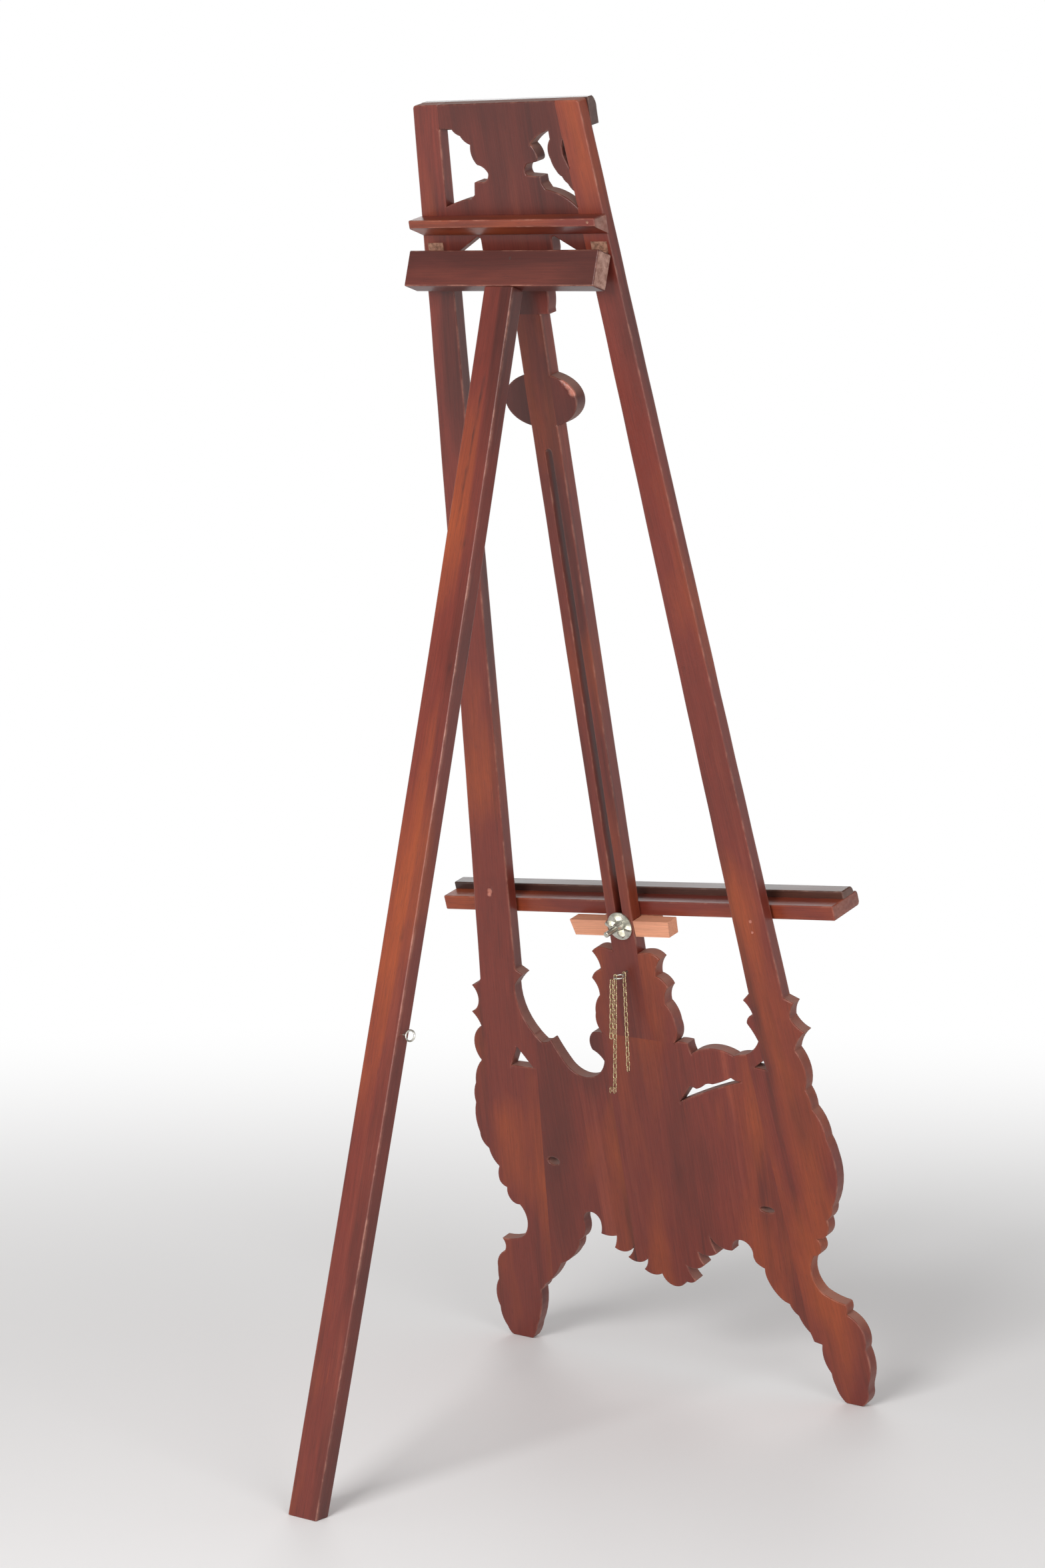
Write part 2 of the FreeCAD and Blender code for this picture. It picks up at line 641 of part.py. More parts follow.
def ledge_lip():
    lip = lip_blank()
    front = lip.BoundBox.YMin + 1
    top = ledge_levels()[1] + LIP_HEIGHT - 1
    rim = [e for e in lip.Edges
           if e.Length > 500 and e.CenterOfMass.y < front and e.CenterOfMass.z > top]
    return ledge_place(lip.makeFillet(LIP_ROUND, rim))


def ledge_yoke():
    """Block under the ledge, notched round the mast and drilled for the bolt."""
    high = BOLT_S + YOKE_TOP
    low = high - YOKE_HEIGHT
    block = board([
        (YOKE_LEFT[0], high), (YOKE_LEFT[1], low), (YOKE_RIGHT[1], low), (YOKE_RIGHT[0], high),
    ], YOKE_WING_DEPTH)
    core = box((-YOKE_CORE, YOKE_CORE), (-YOKE_DEPTH, 0), (low, high))
    block = block.fuse(core).removeSplitter()
    half = NOTCH_WIDTH / 2
    block = block.cut(box((-half, half), (-MAST_DEPTH - NOTCH_PLAY, 1), (low - 1, high + 1)))
    block = block.cut(bolt_solid())
    for screw in yoke_screw_solids():
        block = block.cut(screw)
    return ledge_place(block)


def yoke_screw_solids():
    low = BOLT_S + YOKE_TOP - YOKE_HEIGHT
    middle = -(MAST_DEPTH + LEDGE_CLEAR + YOKE_DEPTH) / 2
    return [small_screw(Vector(u, middle, low), Z_AXIS, 36.0) for u in YOKE_SCREW_U]


def bolt_solid():
    head_radius, head_depth = BOLT_HEAD
    front = -YOKE_DEPTH
    shank = rod(BOLT_RADIUS, Vector(0, front, BOLT_S), Y_AXIS, YOKE_DEPTH + BOLT_REACH)
    head = rod(head_radius, Vector(0, front, BOLT_S), Y_AXIS, head_depth)
    return shank.fuse(head).removeSplitter()


def clamp_bolt():
    bolt = bolt_solid()
    tip = [e for e in bolt.Edges if abs(e.CenterOfMass.y - BOLT_REACH) < 0.01]
    return ledge_place(bolt.makeChamfer(0.8, tip))


def clamp_washer():
    outer, hole, thick = WASHER
    start = Vector(0, WASHER_PLAY, BOLT_S)
    ring = rod(outer, start, Y_AXIS, thick).cut(rod(hole, start, Y_AXIS, thick))
    return ledge_place(ring)


def wing_nut():
    """Hub with two wings that sweep outwards and to the rear."""
    base = WASHER_PLAY + WASHER[2] + 0.2
    start = Vector(0, base, BOLT_S)
    hub = Part.makeCone(NUT_RADII[0], NUT_RADII[1], NUT_HEIGHT, start, Y_AXIS)
    nut = hub
    for side in (1, -1):
        outline = [
            (side * 4, base + 1), (side * 9, base + 2), (side * WING_SPAN, base + WING_RISE * 0.55),
            (side * WING_SPAN, base + WING_RISE), (side * (WING_SPAN - 7), base + WING_RISE),
            (side * 5, base + NUT_HEIGHT - 1),
        ]
        points = [Vector(u, d, BOLT_S - WING_THICK / 2) for u, d in outline]
        wing = Part.Face(Part.makePolygon(points + points[:1])).extrude(Vector(0, 0, WING_THICK))
        edges = [e for e in wing.Edges if abs(e.Length - WING_THICK) < 0.01
                 and e.CenterOfMass.y > base + WING_RISE * 0.5]
        nut = nut.fuse(wing.makeFillet(WING_ROUND, edges))
    nut = nut.removeSplitter().cut(rod(NUT_HOLE, start - Vector(0, 5, 0), Y_AXIS, 60))
    nut.rotate(Vector(0, 0, BOLT_S), Y_AXIS, WING_TURN)
    return ledge_place(nut)


# --- chain ----------------------------------------------------------------------------------------
def eye_shank():
    start = Vector(EYE_U, -SHANK_BURIED, EYE_S)
    return rod(SHANK_RADIUS, start, Y_AXIS, SHANK_BURIED + EYE_REACH - EYE_RING)


def chain_screw_eye():
    ring = Part.makeTorus(EYE_RING, EYE_WIRE, Vector(EYE_U, EYE_REACH, EYE_S), Z_AXIS)
    return lean(eye_shank().fuse(ring).removeSplitter())


def link():
    """One oval link standing in the XZ plane, centred at the origin."""
    r = LINK_WIRE / 2
    bend = LINK_WIDTH / 2 - r
    rise = LINK_LENGTH / 2 - LINK_WIDTH / 2
    solid = None
    for side in (1, -1):
        turn = Part.makeTorus(bend, r, ORIGIN, Y_AXIS)
        reach = LINK_WIDTH
        keep = box((-reach, reach), (-reach, reach), (0, reach) if side > 0 else (-reach, 0))
        turn = turn.common(keep)
        turn.translate(Vector(0, 0, side * rise))
        leg = rod(r, Vector(side * bend, 0, -rise), Z_AXIS, 2 * rise)
        solid = turn.fuse(leg) if solid is None else solid.fuse(turn).fuse(leg)
    return solid.removeSplitter()


def strand(pivot, count, sway=0.0, first=0):
    """Links hanging from a pivot, each a quarter turn from the last. Sway leans the strand across."""
    top = pivot.z + EYE_WIRE + HOOK_GAP + LINK_WIRE - LINK_LENGTH / 2
    links = []
    for i in range(first, first + count):
        piece = link()
        if i % 2:
            piece.rotate(ORIGIN, Z_AXIS, 90)
        piece.translate(Vector(pivot.x, pivot.y, top - i * LINK_PITCH))
        links.append(piece)
    hung = Part.makeCompound(links)
    hung.rotate(pivot, Y_AXIS, sway)
    return hung


def long_pivot():
    return frame_point(EYE_U + EYE_RING, EYE_REACH, EYE_S)


def short_pivot():
    return frame_point(EYE_U, SHORT_REACH, EYE_S)


def chain_long():
    """Long strand from the ring, doubled back beside itself at the top."""
    pivot = long_pivot()
    beside = pivot + Vector(STRAND_GAP, 0, 0)
    doubled = strand(beside, DOUBLED_LINKS, first=1)
    last = strand(beside, 1, first=LONG_LINKS - 1)
    return Part.makeCompound(strand(pivot, LONG_LINKS).Solids + doubled.Solids + last.Solids)


def chain_short():
    return strand(short_pivot(), SHORT_LINKS, sway=SHORT_SWAY)


def build():
    """Every node by name."""
    nodes = frame_boards()
    nodes["head_panel"] = head_panel()
    nodes["head_cornice"] = head_cornice()
    nodes["mast"] = mast()
    nodes["mast_disc_left"] = mast_ear(1)
    nodes["mast_disc_right"] = mast_ear(-1)
    nodes["mast_flare_left"] = mast_flare(1)
    nodes["mast_flare_right"] = mast_flare(-1)
    nodes["stop_rail"] = stop_rail()
    nodes["stop_rail_screws"] = stop_rail_screws()
    nodes["stop_rail_nail"] = lean(nail_solid())
    nodes["hinge_rail"] = hinge_rail()
    nodes["rear_leg"] = rear_leg()
    nodes["leg_tenon_peg"] = leg_place(peg_solid())
    nodes["leg_screw_eye"] = leg_screw_eye()
    for name, side in (("left", 1), ("right", -1)):
        nodes["hinge_fixed_leaf_" + name] = fixed_leaf(side)
        nodes["hinge_moving_leaf_" + name] = moving_leaf(side)
    nodes["hinge_pins"] = lean(Part.makeCompound([hinge_pin_rod(1), hinge_pin_rod(-1)]))
    nodes["hinge_fixed_screws"] = lean(Part.makeCompound(fixed_screw_solids()))
    nodes["hinge_moving_screws"] = leg_place(Part.makeCompound(moving_screw_solids()))
    nodes["ledge_board"] = ledge_board()
    nodes["ledge_lip"] = ledge_lip()
    nodes["ledge_yoke"] = ledge_yoke()
    nodes["ledge_yoke_screws"] = ledge_place(Part.makeCompound(yoke_screw_solids()))
    nodes["clamp_bolt"] = clamp_bolt()
    nodes["clamp_washer"] = clamp_washer()
    nodes["wing_nut"] = wing_nut()
    nodes["chain_screw_eye"] = chain_screw_eye()
    nodes["chain_long"] = chain_long()
    nodes["chain_short"] = chain_short()
    return nodes


os.makedirs("parts", exist_ok=True)
for node_name, node_shape in build().items():
    node_shape.translate(Vector(0, -CENTRE_Y, 0))
    node_shape.exportStep("parts/%s.step" % node_name)
    volume = node_shape.Volume / 1000
    print("%-26s %2d solids  valid %s  %8.2f cm3" % (
        node_name, len(node_shape.Solids), node_shape.isValid(), volume))
print("leg ground y %.3f, rail top %.3f, centre y %.3f" % (LEG_Y, RAIL_TOP, CENTRE_Y))
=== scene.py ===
"""Looks of the H frame easel: worn carved boards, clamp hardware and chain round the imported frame."""
import json
import math

import bpy
import numpy as np
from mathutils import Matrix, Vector
from mathutils.geometry import delaunay_2d_cdt


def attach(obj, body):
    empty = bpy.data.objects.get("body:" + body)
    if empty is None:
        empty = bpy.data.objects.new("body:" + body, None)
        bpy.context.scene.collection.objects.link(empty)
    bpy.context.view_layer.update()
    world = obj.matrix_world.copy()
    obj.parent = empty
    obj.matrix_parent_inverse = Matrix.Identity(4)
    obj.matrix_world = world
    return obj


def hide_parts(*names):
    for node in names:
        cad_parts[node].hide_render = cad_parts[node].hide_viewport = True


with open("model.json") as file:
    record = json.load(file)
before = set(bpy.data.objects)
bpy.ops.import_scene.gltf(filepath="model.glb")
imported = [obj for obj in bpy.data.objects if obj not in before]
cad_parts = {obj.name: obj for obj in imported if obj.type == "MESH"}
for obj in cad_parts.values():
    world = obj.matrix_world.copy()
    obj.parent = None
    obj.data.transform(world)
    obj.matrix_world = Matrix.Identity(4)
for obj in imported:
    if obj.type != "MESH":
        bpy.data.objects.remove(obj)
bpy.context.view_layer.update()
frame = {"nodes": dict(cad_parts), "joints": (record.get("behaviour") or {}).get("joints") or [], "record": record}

MM = 0.001

# The rear leg, as it is built: its width, how far below the ground its bow begins, and the bow of its
# left and right edge.
LEG_WIDTH = 46.5 * MM
LEG_SPARE = 20 * MM
LEG_BOWS = (4.8 * MM, 6.5 * MM)
STILE_LEAN = 0.1029                        # radians between the grain of a stile and the mast's

# Wear of the wood.
ROUND = 1.5 * MM                           # radius of the worn arrises
RUBBED = 1.1 * MM                          # width of the rubbed band beside an arris
UNEVEN = 0.12 * MM                         # hollows of a planed face
BAR_UNEVEN = 0.06 * MM                     # and of a bar's sides
DEEPEST = 4.2 * MM                         # limit of the carving
BEND = 3 * MM                              # a corner rounder than this is moulded, and rubbed less

# Fineness of the meshes.
GRID = 5.0 * MM   # cells inside a board
EDGE_STEP = 3.0 * MM
ARRIS_ROWS = (0.12 * ROUND, 0.5 * ROUND, ROUND)
GROOVE_ROWS = (3 * MM, 6 * MM, 8.5 * MM, 11 * MM)
WALL_ROWS = (0.8 * MM, 2.6 * MM)           # rows of a wall, in from each face
BAR_END_ROWS = (*ARRIS_ROWS, 2.4 * MM)
BAR_STEP = 8 * MM
ARRIS_GAP = 0.1 * MM                       # points nearer together than this are thinned, at an arris
FIELD_GAP = 2.4 * MM                       # and elsewhere
HEEL = 30 * MM                             # length of the leg that is drawn out to reach the ground

# Tolerances.
MERGE = 0.01 * MM
FLAT = 0.02 * MM
SEAM_NEAR = 0.12 * MM                      # an outline nearer than this to another board's is glued
SEARCH = 0.06                              # sides further off than this are passed over
BLOCK = 400                                # points compared at a time
SMOOTH = math.radians(38)                  # faces that meet at less than this are shaded smooth

# What the wood materials read at each point: rubbed edge, paler wall (bare cut wood, lifted by a painted sheen),
# end grain, bare wood, lighter or darker board (on the disc, hinge rail and leg partly painted shade), and dark
# stain.
ATTRIBUTES = ("edge", "side", "end", "raw", "tone", "stain")
GRAIN_STEP = np.array([1, 0.37, 0.11])     # each piece's grain is moved along this, so that no two match

# Camera, placed from the middle of the ground line of the front frame's rear face.
CAMERA_AZIMUTH = math.radians(35.14)
CAMERA_TURN = math.radians(2.53)
CAMERA_PITCH = math.radians(7.344)
CAMERA_DISTANCE = 5.3846
CAMERA_HEIGHT = 1.5408
CAMERA_LENS = 88.65
SENSOR_HEIGHT = 36.0

# Lights: place, side of the square in metres, and power in watts.
LIGHTS = {
    "key": ((-0.6, 4.7, 2.8), 2.2, 205),
    "rim": ((2.5, -3.5, 3.0), 2.0, 30),
    "fill": ((-4.2, 2.2, 1.7), 2.4, 75),
}
LIT_POINT = (0, 0, 0.9)
SKY_LOW = (0.08, 1.0)                      # height in the sky and strength: white behind the easel,
SKY_HIGH = (0.2, 0.36)                     # and dimmer overhead
FLOOR_COLOUR = (0.87, 0.855, 0.85, 1)
FLOOR_HALF = 60.0
FLOOR_FADE = (0.5, 3.0)                    # the floor turns white between these distances,
FADE_SHARES = (0.55, 0.45)                 # counted partly all round and partly straight away from the eye
AWAY = (0.61, -0.79, 0)

nodes = frame["nodes"]


# --- places read from the frame -------------------------------------------------------------------
class Plane:
    """A working plane: u across, d out of the rear face, s along the piece."""

    def __init__(self, across, out, along, origin):
        self.axes = np.array([across, out, along], float)
        self.origin = np.array(origin, float)

    def local(self, points):
        return (np.asarray(points) - self.origin) @ self.axes.T

    def world(self, points):
        return np.asarray(points) @ self.axes + self.origin


def cad_points(node):
    mesh = nodes[node].data
    points = np.zeros(len(mesh.vertices) * 3)
    mesh.vertices.foreach_get("co", points)
    return points.reshape(-1, 3)


def front_plane():
    """The front frame's rear face, from the slide of the ledge and the mast."""
    slide = next(j for j in frame["joints"] if j["name"] == "ledge_slide")
    along = np.array(slide["axis"], float)
    out = np.array([0.0, along[2], -along[1]])
    rear = (cad_points("mast") @ out).max()
    return Plane((1, 0, 0), out, along, (0, rear / along[2], 0))


def leg_plane():
    """The rear leg's rear face, from its edge on the ground and its points more than a metre above."""
    points = cad_points("rear_leg")
    level = points[points[:, 2] < MERGE]
    heel = level[level[:, 1].argmax()]
    rise = points - heel
    rise = rise[rise[:, 2] > 1.0]
    slope = (rise[:, 1] / rise[:, 2]).max()
    along = np.array([0.0, slope, 1.0]) / math.hypot(slope, 1)
    return Plane((1, 0, 0), (0, along[2], -along[1]), along, (0, heel[1], 0))


def ledge_plane(front):
    """The front plane turned with the tilted ledge about its bolt."""
    points = front.local(cad_points("ledge_yoke"))
    rear = points[points[:, 1] > points[:, 1].max() - MERGE]
    left = rear[rear[:, 0].argmax()]
    right = rear[rear[:, 0].argmin()]
    across = np.array([left[0] - right[0], left[2] - right[2]])
    across /= np.linalg.norm(across)
    bolt = front.local(cad_points("clamp_washer")).mean(0)
    turn = np.array([[across[0], 0, across[1]], [0, 1, 0], [-across[1], 0, across[0]]])
    return Plane(*(turn @ front.axes), front.world((bolt[0], 0.0, bolt[2])))


FRONT = front_plane()
LEG = leg_plane()
LEDGE = ledge_plane(FRONT)


def local_box(node, plane):
    points = plane.local(cad_points(node))
    return points.min(0), points.max(0)


def face_loops(node, plane):
    """Outlines of a board's rear face, as closed lists of (u, s)."""
    points = plane.local(cad_points(node))
    rear = points[:, 1].max()
    keys = {}
    index = [keys.setdefault(tuple(np.round(p / MERGE).astype(int)), len(keys)) for p in points]
    flat = {merged: points[i] for i, merged in enumerate(index)}
    count = {}
    for polygon in nodes[node].data.polygons:
        corners = [index[v] for v in polygon.vertices]
        if min(flat[c][1] for c in corners) < rear - FLAT:
            continue
        for a, b in zip(corners, corners[1:] + corners[:1]):
            if (b, a) in count:
                del count[(b, a)]
            else:
                count[(a, b)] = True
    following = dict(count.keys())
    loops = []
    while following:
        first, step = following.popitem()
        loop = [flat[first][[0, 2]]]
        while step != first and step in following:
            loop.append(flat[step][[0, 2]])
            step = following.pop(step)
        if len(loop) > 2:
            loops.append(np.array(loop))
    return loops


def resample(loop, step):
    """The same closed outline with no side longer than the step."""
    out = []
    for a, b in zip(loop, np.roll(loop, -1, axis=0)):
        length = np.linalg.norm(b - a)
        if length < 1e-7:
            continue
        parts = max(1, int(math.ceil(length / step)))
        out.extend(a + (b - a) * i / parts for i in range(parts))
    return np.array(out)


def sides_of(loops):
    """Every side of the loops as (start, end) arrays."""
    return np.concatenate(loops), np.concatenate([np.roll(loop, -1, axis=0) for loop in loops])


def distance(points, start, end):
    """Distance from each point to the nearest side, in blocks of neighbouring points."""
    best = np.full(len(points), 1e9)
    run = end - start
    square = np.maximum((run ** 2).sum(1), 1e-18)
    order = np.argsort(points[:, 1])
    for block in np.array_split(order, max(1, len(points) // BLOCK)):
        here = points[block]
        low, high = here[:, 1].min() - SEARCH, here[:, 1].max() + SEARCH
        near = (np.maximum(start[:, 1], end[:, 1]) > low) & (np.minimum(start[:, 1], end[:, 1]) < high)
        if not near.any():
            continue
        delta = here[:, None, :] - start[None, near]
        along = np.clip((delta * run[None, near]).sum(2) / square[near], 0, 1)
        gap = delta - along[..., None] * run[None, near]
        best[block] = np.sqrt((gap ** 2).sum(2).min(1))
    return best


def inside(points, loops):
    """True for each point inside the loops, by counting the sides to its right."""
    start, end = sides_of(loops)
    hit = np.zeros(len(points), bool)
    order = np.argsort(points[:, 1])
    top, bottom = np.maximum(start[:, 1], end[:, 1]), np.minimum(start[:, 1], end[:, 1])
    for block in np.array_split(order, max(1, len(points) // BLOCK)):
        x, y = points[block, 0, None], points[block, 1, None]
        near = (top >= y.min()) & (bottom <= y.max())
        a, b = start[None, near], end[None, near]
        crosses = (a[..., 1] > y) != (b[..., 1] > y)
        rise = b[..., 1] - a[..., 1]
        rise = np.where(np.abs(rise) < 1e-12, 1e-12, rise)
        at = a[..., 0] + (y - a[..., 1]) * (b[..., 0] - a[..., 0]) / rise
        hit[block] = (crosses & (x < at)).sum(1) % 2 == 1
    return hit


# --- unevenness and carving -----------------------------------------------------------------------
def wave(points, scale, seed):
    """Smooth uneven surface between -1 and 1, from a few crossed sines."""
    rng = np.random.default_rng(seed)
    total = np.zeros(len(points))
    for _ in range(5):
        turn = rng.uniform(0, math.tau)
        reach = scale * rng.uniform(0.6, 1.7)
        phase = rng.uniform(0, math.tau)
        total += np.sin((points[:, 0] * math.cos(turn) + points[:, 1] * math.sin(turn)) / reach + phase)
    return total / 5


def groove(at, centre, half, depth):
    """Round-bottomed groove along a line of equal distance."""
    t = np.clip(np.abs(at - centre) / half, 0, 1)
    return depth * (1 - t ** 2)


def fan(points, centre, radius, blades, turn, depth):
    """Shell of radiating blades inside a circle."""
    offset = points - np.array(centre)
    r = np.hypot(offset[:, 0], offset[:, 1]) / radius
    angle = np.arctan2(offset[:, 1], offset[:, 0]) + turn
    blade = np.abs(np.sin(angle * blades / 2))
    rim = np.clip((1 - r) / 0.12, 0, 1)
    return depth * rim * (0.75 * (1 - blade) ** 1.5 * np.clip(r / 0.3, 0, 1) + groove(r, 0.24, 0.08, 1.0))


# Grooves that follow the outline: distance in, half width and depth. Plain carving has the first only.
GROOVES = ((8.5 * MM, 2.6 * MM, 1.7 * MM), (21 * MM, 3.6 * MM, 1.8 * MM), (36 * MM, 5.0 * MM, 1.4 * MM))

# Shells: centre, radius, blades, turn and depth.
SHELLS = (
    ((0.235, 0.385), 0.040, 12, 0.2, 2.2 * MM),
    ((-0.235, 0.385), 0.040, 12, 0.2, 2.2 * MM),
    ((0.0, 0.330), 0.085, 18, 0.0, 2.6 * MM),
    ((0.0, 1.738), 0.024, 10, 0.0, 2.0 * MM),
)


def carving(points, edge, strong):
    """Depth carved out of the front of a board: lines that follow the outline, and shells."""
    depth = groove(edge, *GROOVES[0])
    if strong:
        for line in GROOVES[1:]:
            depth += groove(edge, *line)
        for shell in SHELLS:
            depth += fan(points, *shell)
    return np.minimum(depth, DEEPEST)


# --- mesh building --------------------------------------------------------------------------------
def shape_mesh(name, node, points, faces, grain, marks, material):
    """Mesh object with the attributes that the wood materials read, in the node's place."""
    mesh = bpy.data.meshes.new(name)
    mesh.from_pydata([tuple(p) for p in points], [], faces)
    mesh.update()
    attribute = mesh.attributes.new("grain", "FLOAT_VECTOR", "POINT")
    attribute.data.foreach_set("vector", np.asarray(grain, np.float32).ravel())
    for label in ATTRIBUTES:
        values = np.broadcast_to(np.asarray(marks.get(label, 0.0), np.float32), (len(points),))
        mesh.attributes.new(label, "FLOAT", "POINT").data.foreach_set("value", values)
    mesh.polygons.foreach_set("use_smooth", [True] * len(mesh.polygons))
    mesh.set_sharp_from_angle(angle=SMOOTH)
    mesh.materials.append(material)
    piece = bpy.data.objects.new(name, mesh)
    bpy.context.scene.collection.objects.link(piece)
    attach(piece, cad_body(node))
    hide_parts(node)
    return piece


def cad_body(node):
    return next(b for b, names in frame["record"]["behaviour"]["bodies"].items() if node in names)


def grain_frame(local, lean_u, shift):
    """Grain coordinates: along the board, across it and through it."""
    along = np.array([math.sin(lean_u), math.cos(lean_u)])
    across = np.array([math.cos(lean_u), -math.sin(lean_u)])
    flat = local[:, [0, 2]]
    return np.stack([flat @ along, flat @ across, local[:, 1]], 1) + shift * GRAIN_STEP


def ring_points(loops, own, offsets):
    """Rows of points set in from the outer edges, for the rounded arris and the grooves."""
    start, end = own
    run = end - start
    length = np.linalg.norm(run, axis=1, keepdims=True)
    normal = np.stack([-run[:, 1], run[:, 0]], 1) / np.maximum(length, 1e-9)
    made = []
    wanted = []
    for offset in offsets:
        for base in (start, (start + end) / 2):
            for sign in (1, -1):
                made.append(base + sign * normal * offset)
                wanted.append(np.full(len(base), offset))
    made = np.concatenate(made)
    keep = (distance(made, start, end) > np.concatenate(wanted) * 0.93) & inside(made, loops)
    return made[keep]


def thin(points, gap):
    """Drops points that share a cell of the given size."""
    cells = {}
    for point, key in zip(points, map(tuple, np.round(points / gap).astype(int))):
        cells.setdefault(key, point)
    return np.array(list(cells.values()))


def triangulate(loops, free):
    """Triangles inside the loops, using the loops' sides and the free points."""
    points = []
    sides = []
    for loop in loops:
        base = len(points)
        points.extend(loop)
        sides.extend((base + i, base + (i + 1) % len(loop)) for i in range(len(loop)))
    points.extend(free)
    made = delaunay_2d_cdt([Vector(p) for p in points], sides, [], 0, 1e-7)
    flat = np.array([tuple(v) for v in made[0]])
    faces = np.array([tuple(f) for f in made[2]])
    return flat, faces[inside(flat[faces].mean(1), loops)]


def board_piece(name, node, plane, seams, material, lean_u=0.0, carve=None, shift=0.0, chips=(), tone=0.0):
    """Board rebuilt from its CAD outline with worn arrises, chips in its rear and carving on its front."""
    loops = [resample(loop, EDGE_STEP) for loop in face_loops(node, plane)]
    low, high = local_box(node, plane)
    start, end = sides_of(loops)
    glued = distance((start + end) / 2, *seams) < SEAM_NEAR
    own = (start[~glued], end[~glued])
    arris = thin(ring_points(loops, own, ARRIS_ROWS), ARRIS_GAP)
    lines = ring_points(loops, own, GROOVE_ROWS)
    mesh_u, mesh_s = np.meshgrid(np.arange(low[0], high[0], GRID), np.arange(low[2], high[2], GRID))
    field = np.stack([mesh_u.ravel(), mesh_s.ravel()], 1)
    field = field[inside(field, loops)]
    far = distance(field, start, end) > 2.5 * ROUND
    free = [arris, thin(np.concatenate([lines, field[far]]), FIELD_GAP)]
    if chips:
        around = chip_points(chips)
        free.append(around[inside(around, loops) & (distance(around, start, end) > 0.3 * MM)])
    flat, faces = triangulate(loops, np.concatenate(free))
    used = np.unique(faces)
    renumber = np.full(len(flat), -1)
    renumber[used] = np.arange(len(used))
    flat, faces = flat[used], renumber[faces]
    edge = distance(flat, *own)
    cut = carving(flat, edge, carve == "strong") if carve else np.zeros(len(flat))
    radius = ROUND * (1 + 0.35 * wave(flat, 0.012, 3))
    inset = np.clip(radius - edge, 0, radius)
    drop = radius - np.sqrt(np.maximum(radius ** 2 - inset ** 2, 0))
    rear_d = high[1] - drop - UNEVEN * (1 + wave(flat, 0.045, 5))
    front_d = low[1] + drop + cut + UNEVEN * (1 + wave(flat, 0.05, 7))
    raw = np.zeros(len(flat))
    for u, s, reach, depth in chips:
        away = np.hypot(flat[:, 0] - u, flat[:, 1] - s) / reach
        rear_d -= depth * np.clip(1 - away ** 2, 0, 1)
        raw = np.maximum(raw, np.clip(2.2 - 2.2 * away, 0, 1))
    return close_board(name, node, plane, flat, faces, edge, (rear_d, front_d), cut, raw, material,
                       lean_u, shift, tone)


def chip_points(chips):
    """Rings of points in and around each chip, so that its hollow is round."""
    return np.array([(u + reach * share * math.cos(turn), s + reach * share * math.sin(turn))
                     for u, s, reach, _ in chips
                     for share in (0.3, 0.6, 0.85, 1.0) for turn in np.linspace(0, math.tau, 10)])


def close_board(name, node, plane, flat, faces, edge, depths, cut, raw, material, lean_u, shift, tone):
    """Rear skin, front skin and the walls between them."""
    count = len(flat)
    skins = [np.stack([flat[:, 0], d, flat[:, 1]], 1) for d in depths]
    near, far = WALL_ROWS
    rows = [(0, near), (0, far), (1, -far), (1, -near)]
    rim = rim_sides(faces)
    members = sorted({v for pair in rim for v in pair})
    place = {v: i for i, v in enumerate(members)}
    wall = [skins[skin][members] - np.array([0, offset, 0]) for skin, offset in rows]
    own = edge[members] < MERGE
    cut_across = across_grain(flat, rim, members, place, lean_u)
    wall_edge = np.concatenate([own * amount for amount in (0.55, 0.0, 0.0, 0.55)])
    size = len(members)
    base = 2 * count
    rear_faces = orient(faces, flat)
    all_faces = rear_faces + [tuple(v + count for v in face[::-1]) for face in rear_faces]
    for a, b in rim:
        column_a = [a] + [base + r * size + place[a] for r in range(4)] + [count + a]
        column_b = [b] + [base + r * size + place[b] for r in range(4)] + [count + b]
        all_faces += [(column_b[i], column_a[i], column_a[i + 1], column_b[i + 1]) for i in range(5)]
    local = np.concatenate(skins + wall)
    wear = np.exp(-(edge / RUBBED) ** 2)
    marks = {
        "edge": np.concatenate([wear, wear * 0.6 + 0.25 * (cut > 0.8 * MM), wall_edge]),
        "side": np.concatenate([np.zeros(2 * count), np.tile(cut_across, 4)]),
        "raw": np.concatenate([raw, np.zeros(count), raw[members] * 0.7, np.zeros(3 * size)]),
        "tone": tone,
    }
    grain = grain_frame(local, lean_u, shift)
    return shape_mesh(name, node, plane.world(local), all_faces, grain, marks, material)


def across_grain(flat, rim, members, place, lean_u):
    """How far each wall point's side is cut across the grain, from 0 to 1."""
    total = np.zeros(len(members))
    for a, b in rim:
        run = flat[b] - flat[a]
        slant = abs(run[0] * math.cos(lean_u) - run[1] * math.sin(lean_u)) / max(np.linalg.norm(run), 1e-9)
        total[place[a]] += slant / 2
        total[place[b]] += slant / 2
    return np.clip(1.5 * total - 0.15, 0, 1)


def orient(faces, flat):
    """Triangles turned to face the rear."""
    a, b, c = flat[faces[:, 0]], flat[faces[:, 1]], flat[faces[:, 2]]
    turn = (b[:, 0] - a[:, 0]) * (c[:, 1] - a[:, 1]) - (b[:, 1] - a[:, 1]) * (c[:, 0] - a[:, 0])
    return [tuple(f) if t < 0 else tuple(f[::-1]) for f, t in zip(faces.tolist(), turn)]


def rim_sides(faces):
    """Directed boundary sides of the triangles."""
    seen = {}
    for f in faces.tolist():
        for a, b in zip(f, f[1:] + f[:1]):
            if (b, a) in seen:
                del seen[(b, a)]
            else:
                seen[(a, b)] = True
    return list(seen)


